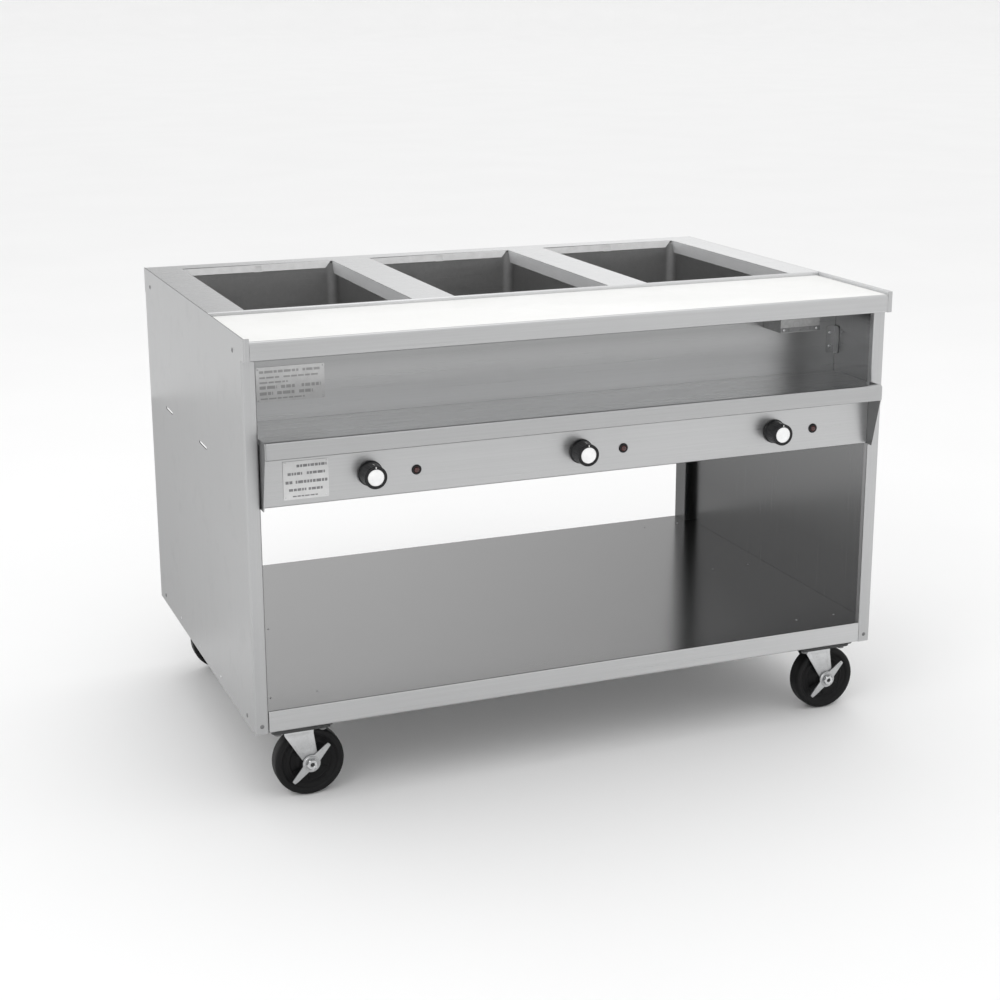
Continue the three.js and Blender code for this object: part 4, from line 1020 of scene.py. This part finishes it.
for name, cx, cy, brake in CASTERS:
    swivel, wheel = f"{name}_swivel", f"{name}_wheel"
    ax = (cx + TRAIL, cy, WHEEL_Z)
    # wheel: tread, sidewalls, dished core with a raised ring, hub with a bearing
    half = [(62.957, 0), (62.957, -8.5), (62.2, -12.6), (59.6, -15.4), (56.5, -15.9), (52.0, -15.2), (50.4, -14.2), (49.2, -12.6),
            (47.6, -11.8), (44.0, -11.0), (40.5, -10.6), (38.6, -11.9), (36.6, -11.9), (34.6, -10.3), (25.5, -10.6), (21.0, -12.0), (18.6, -15.0), (17.6, -17.6), (12.3, -17.7), (12.3, -16.6), (6.6, -16.6)]
    prof = soft(half, [0, 2, 2.2, 2, 2, 1.5, 0.8, 0.8, 1, 1, 1.2, 0.8, 0.8, 1.2, 2, 2, 1.5, 0.8, 0.3, 0.2, 0], 3)
    full = [(r, h) for r, h in reversed(prof)] + [(r, -h) for r, h in prof[1:]]
    s = Soup().add(lathe(full, ax, "y", 96))
    # bore wall joins both ends of the turned body
    s.add(lathe([(6.6, -16.6), (6.6, 16.6)], ax, "y", 96))
    nt = len(s.m)
    rows = len(full) - 1
    for i in range(rows):  # tread and sidewalls in rubber, the core in hard plastic
        mid = (full[i][0] + full[i + 1][0]) / 2
        for k in range(96):
            s.m[i * 96 + k] = 0 if mid > 49.5 else 1
    for sgn in (-1, 1):
        s.add(lathe(soft([(7.0, sgn * 16.5), (7.0, sgn * 17.5), (8.6, sgn * 17.75), (11.6, sgn * 17.6), (12.1, sgn * 17.0), (12.1, sgn * 16.5)], 0.25, 2), ax, "y", 48), 2)
        for q in range(6):  # shallow ribs across the dish
            a = q * PI / 3 + PI / 6
            u, w = math.cos(a), math.sin(a)
            pts = [(ax[0] + u * r - w * e, ax[2] + w * r + u * e) for r, e in ((20, -1.5), (36, -1.1), (36, 1.1), (20, 1.5))]
            s.add(prism(pts, cy + sgn * 9.4, cy + sgn * 11.9, "y"), 1)
    piece("wheel_" + name, s, [TYRE, HUBP, ZINC_DARK], wheel, "caster_wheel_" + name, angle=32)

    # fork, with the hole that the king pin passes through
    o = mesh_object("fork_" + name, Soup().add(fork_mesh(cx, cy)), [ZINC_FORK])
    cut(o, mesh_object("tmp_pin", Soup().add(prism([(6.9 * math.cos(k * PI / 16) + cx, 6.9 * math.sin(k * PI / 16) + cy) for k in range(32)], 120, 136, "z")), []))
    smooth(o, 32)
    bevel(o, 0.5, 2, 45)
    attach(o, swivel)
    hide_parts("caster_fork_" + name)

    # swivel race with its seal groove
    prof = soft([(7.0, 132.45), (26.5, 132.45), (30.4, 134.3), (31.0, 135.4), (29.9, 136.1), (29.9, 136.7), (30.2, 137.3), (28.4, 138.35), (7.0, 138.35), (7.0, 132.45)],
                [0, 0.6, 0.8, 0.5, 0.3, 0.3, 0.4, 0.6, 0.3, 0], 2)
    s = Soup().add(lathe(prof, (cx, cy, 0), "z", 72), 0)
    piece("race_" + name, s, [ZINC_DARK], "cabinet", "swivel_race_" + name, angle=30)
    # plate bolts with washers, heads down
    s = Soup()
    for a in (-1, 1):
        for b in (-1, 1):
            at = (cx + a * 40, cy + b * 38, 0)
            s.add(lathe(soft([(0, 138.65), (9.0, 138.65), (9.0, 137.1), (0, 137.1)], 0.3, 2), at, "z", 32))
            s.add(hexagon(7.4, 137.1, 132.0, at, "z", 0.8))
            s.add(lathe([(0, 146.6), (4.0, 146.6), (4.0, 150.6), (3.2, 151.4), (0, 151.4)], at, "z", 20))
            s.add(hexagon(7.4, 147.0, 152.0, at, "z", 0.8)) if False else None
    piece("plate_bolts_" + name, s, [ZINC_DARK], "cabinet", angle=30)

    # axle bolt: chamfered hexagon head, washers, nut and thread end
    front = -25.4 if brake else -21.8
    s = Soup()
    s.add(lathe([(0, front - 0.2), (5.95, front - 0.2), (5.95, 28.4), (0, 28.4)], ax, "y", 32))
    s.add(hexagon(10.1, front - 0.2, front - 6.3, ax, "y", 1.0, (4.4, 4.2)))
    s.add(lathe([(0, front - 2.35), (3.85, front - 2.35), (3.85, front - 2.15), (0, front - 2.15)], ax, "y", 24), 1)
    s.add(hexagon(10.1, 22.4, 28.4, ax, "y", 1.0))
    s.add(lathe([(0, 28.3), (5.4, 28.3), (5.4, 28.55), (0, 28.55)], ax, "y", 32))
    s.add(lathe(soft([(6.0, 21.45), (11.4, 21.45), (11.4, 22.5), (6.0, 22.5), (6.0, 21.45)], 0.2, 1), ax, "y", 40))
    for sgn in (-1, 1):  # spacers between hub and legs
        a, b = sorted((sgn * 17.85, sgn * 18.25))
        s.add(lathe([(6.0, a), (8.6, a), (8.6, b), (6.0, b), (6.0, a)], ax, "y", 32))
    piece("axle_" + name, s, [SCREW, DARK], swivel, "caster_axle_" + name, angle=30)

    if brake:  # lever: a pressed strap with turned pedal ends, a boss and a pad
        c, d = math.cos(math.radians(44)), math.sin(math.radians(44))
        tops = [(46, -3.4), (46, 3.4), (38, 5.0), (14, 7.4)]
        ring = [(16 * math.cos(a), 16 * math.sin(a)) for a in [PI * (0.17 + 0.66 * k / 14) for k in range(15)]]
        outline = tops + ring
        outline = outline + [(-a, -b) for a, b in outline]
        outline = soft(outline, 1.6, 2, True)
        lever = [(ax[0] + a * c - b * d, ax[2] + a * d + b * c) for a, b in outline]
        o = mesh_object("lever_" + name, Soup().add(prism(lever, cy - 24.8, cy - 21.9, "y")), [ZINC, SCREW])
        cut(o, mesh_object("tmp_hole", Soup().add(prism([(ax[0] + 6.7 * math.cos(k * PI / 16), ax[2] + 6.7 * math.sin(k * PI / 16)) for k in range(32)], cy - 40, cy - 10, "y")), []))
        smooth(o, 30)
        bevel(o, 0.55, 2, 45)
        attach(o, f"{name}_brake")
        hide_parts("brake_lever_" + name)
        s = Soup()
        # pressed ring round the bolt, and ribbed foot pads at both ends
        s.add(lathe(soft([(11.0, -24.6), (11.3, -25.9), (13.4, -26.1), (14.6, -24.6)], 0.6, 3), ax, "y", 56))
        for sgn in (-1, 1):
            for k in range(4):
                a0 = sgn * (31.0 + 3.8 * k)
                pts = [(a0 - 0.8, -3.3 + 0.25 * k), (a0 + 0.8, -3.3 + 0.25 * k), (a0 + 0.8, 3.3 - 0.25 * k), (a0 - 0.8, 3.3 - 0.25 * k)]
                s.add(prism([(ax[0] + a * c - b * d, ax[2] + a * d + b * c) for a, b in pts], cy - 25.6, cy - 24.6, "y"))
        piece("lever_press_" + name, s, [ZINC], f"{name}_brake", edge=0.25)

# ------------------------------------------------------------ stage and lights
floor_mat = Mat("studio_floor", (0.9, 0.9, 0.9), 0.85, 0.0, Specular_IOR_Level=0.2)
_f = floor_mat.noise(1.3, 4.0, 0.5)
floor_mat = floor_mat.finish(floor_mat.ramp(_f, (0.3, (0.905, 0.905, 0.905)), (0.7, (0.92, 0.92, 0.92))))
me = bpy.data.meshes.new("studio_floor")
ring, v, f = 96, [(0, 0, -0.0004)], []
for r, z in ((3, -0.0004), (20, -0.0004), (40, -0.0004), (43, 0.25), (45, 1.0), (46, 2.2), (46.3, 4.2), (46.4, 5.6)):
    v += [(r * math.cos(2 * PI * k / ring), r * math.sin(2 * PI * k / ring), z) for k in range(ring)]
f += [(0, 1 + k, 1 + (k + 1) % ring) for k in range(ring)]
for i in range(7):
    f += [(1 + i * ring + k, 1 + (i + 1) * ring + k, 1 + (i + 1) * ring + (k + 1) % ring, 1 + i * ring + (k + 1) % ring) for k in range(ring)]
me.from_pydata(v, [], f)
me.shade_smooth()
me.materials.append(floor_mat)
floor = bpy.data.objects.new("studio_floor", me)
bpy.context.scene.collection.objects.link(floor)
floor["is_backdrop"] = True
# the sweep carried on upward for low views; it neither lights the object nor shows in its sheets
me = bpy.data.meshes.new("studio_sweep_top")
v = [(46.4 * math.cos(2 * PI * k / ring), 46.4 * math.sin(2 * PI * k / ring), z) for z in (5.6, 22.0) for k in range(ring)]
me.from_pydata(v, [], [(k, (k + 1) % ring, ring + (k + 1) % ring, ring + k) for k in range(ring)])
me.shade_smooth()
me.materials.append(floor_mat)
top = bpy.data.objects.new("studio_sweep_top", me)
bpy.context.scene.collection.objects.link(top)
top.visible_diffuse = top.visible_glossy = top.visible_transmission = top.visible_shadow = False
top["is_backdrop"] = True

world = bpy.data.worlds.new("studio")
bpy.context.scene.world = world
world.use_nodes = True
wt = world.node_tree
wt.nodes.clear()
wo = wt.nodes.new("ShaderNodeOutputWorld")
bg = wt.nodes.new("ShaderNodeBackground")
tc = wt.nodes.new("ShaderNodeTexCoord")
sp = wt.nodes.new("ShaderNodeSeparateXYZ")
wt.links.new(tc.outputs["Generated"], sp.inputs[0])


def sweep(source, lo, hi, f0, f1):
    n = wt.nodes.new("ShaderNodeMapRange")
    n.interpolation_type = "SMOOTHSTEP"
    wt.links.new(sp.outputs[source], n.inputs["Value"])
    for k, v in (("From Min", f0), ("From Max", f1), ("To Min", lo), ("To Max", hi)):
        n.inputs[k].default_value = v
    return n.outputs[0]


# a broad soft box behind on the right, and an even pale room elsewhere
rear = sweep("Y", 0.0, 1.0, 0.55, 0.9)
side = sweep("X", -0.42, 0.16, 0.10, 0.46)
low = sweep("Z", 1.0, 0.0, 0.28, 0.6)
t1 = wt.nodes.new("ShaderNodeMath")
t1.operation = "MULTIPLY"
wt.links.new(rear, t1.inputs[0])
wt.links.new(side, t1.inputs[1])
t3 = wt.nodes.new("ShaderNodeMath")
t3.operation = "MULTIPLY"
wt.links.new(t1.outputs[0], t3.inputs[0])
wt.links.new(low, t3.inputs[1])
t2 = wt.nodes.new("ShaderNodeMath")
t2.operation = "ADD"
wt.links.new(t3.outputs[0], t2.inputs[0])
t2.inputs[1].default_value = 1.0
wt.links.new(t2.outputs[0], bg.inputs["Strength"])
bg.inputs["Color"].default_value = (1.0, 1.0, 1.0, 1)
wt.links.new(bg.outputs[0], wo.inputs[0])


def area(name, at, look, size, power):
    l = bpy.data.lights.new(name, "AREA")
    l.shape, l.size, l.energy = "SQUARE", size, power
    o = bpy.data.objects.new(name, l)
    o.location = at
    o.rotation_mode = "QUATERNION"
    o.rotation_quaternion = (Vector(look) - Vector(at)).to_track_quat("-Z", "Y")
    bpy.context.scene.collection.objects.link(o)
    return o


area("key_box", (-3.2, -2.6, 3.4), (0, 0, 0.5), 2.6, 34)
area("top_box", (0.4, 0.6, 4.2), (0, 0, 0.8), 3.2, 22)

# a dark card behind the bay, out of the camera's sight, as a studio flag
card_mat = Mat("studio_flag", (0.03, 0.03, 0.03), 0.9)
card_mat.b.inputs["Specular IOR Level"].default_value = 0.0
card_mat.put(card_mat.ramp(card_mat.span(card_mat.axis("X"), 0.0, 1.0, -1.0, 1.2), (0.0, 0.95), (0.40, 0.80), (0.72, 0.62), (1.0, 0.40)), card_mat.b.inputs["Emission Color"])
card_mat.b.inputs["Emission Strength"].default_value = 0.8
me = bpy.data.meshes.new("studio_flag")
me.from_pydata([(-1.0, 0.47, 0.02), (1.5, 0.47, 0.02), (1.5, 0.47, 0.56), (-1.0, 0.47, 0.56)], [], [(0, 1, 2, 3)])
me.materials.append(card_mat.finish())
card = bpy.data.objects.new("studio_flag", me)
bpy.context.scene.collection.objects.link(card)
card.visible_camera = card.visible_diffuse = card.visible_shadow = False
card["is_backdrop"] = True

# --------------------------------------------------------------------- camera
yaw, pitch = math.radians(22.30), math.radians(14.79)
fwd = Vector((math.sin(yaw) * math.cos(pitch), math.cos(yaw) * math.cos(pitch), -math.sin(pitch)))
right = Vector((math.cos(yaw), -math.sin(yaw), 0))
up = right.cross(fwd)
cam = bpy.data.cameras.new("camera")
cam.lens, cam.sensor_width = 1807.1 * 36 / 1000, 36.0
cam.shift_x, cam.shift_y = -0.02, -0.04
cam.clip_start, cam.clip_end = 0.05, 600
co = bpy.data.objects.new("camera", cam)
bpy.context.scene.collection.objects.link(co)
m = Matrix((right, up, -fwd)).transposed().to_4x4()
m.translation = Vector((-1.275, -3.183, 1.387))
co.matrix_world = m
bpy.context.scene.camera = co
bpy.context.scene.view_settings.view_transform = "Standard"
bpy.context.scene.view_settings.look = "None"

lo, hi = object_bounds()
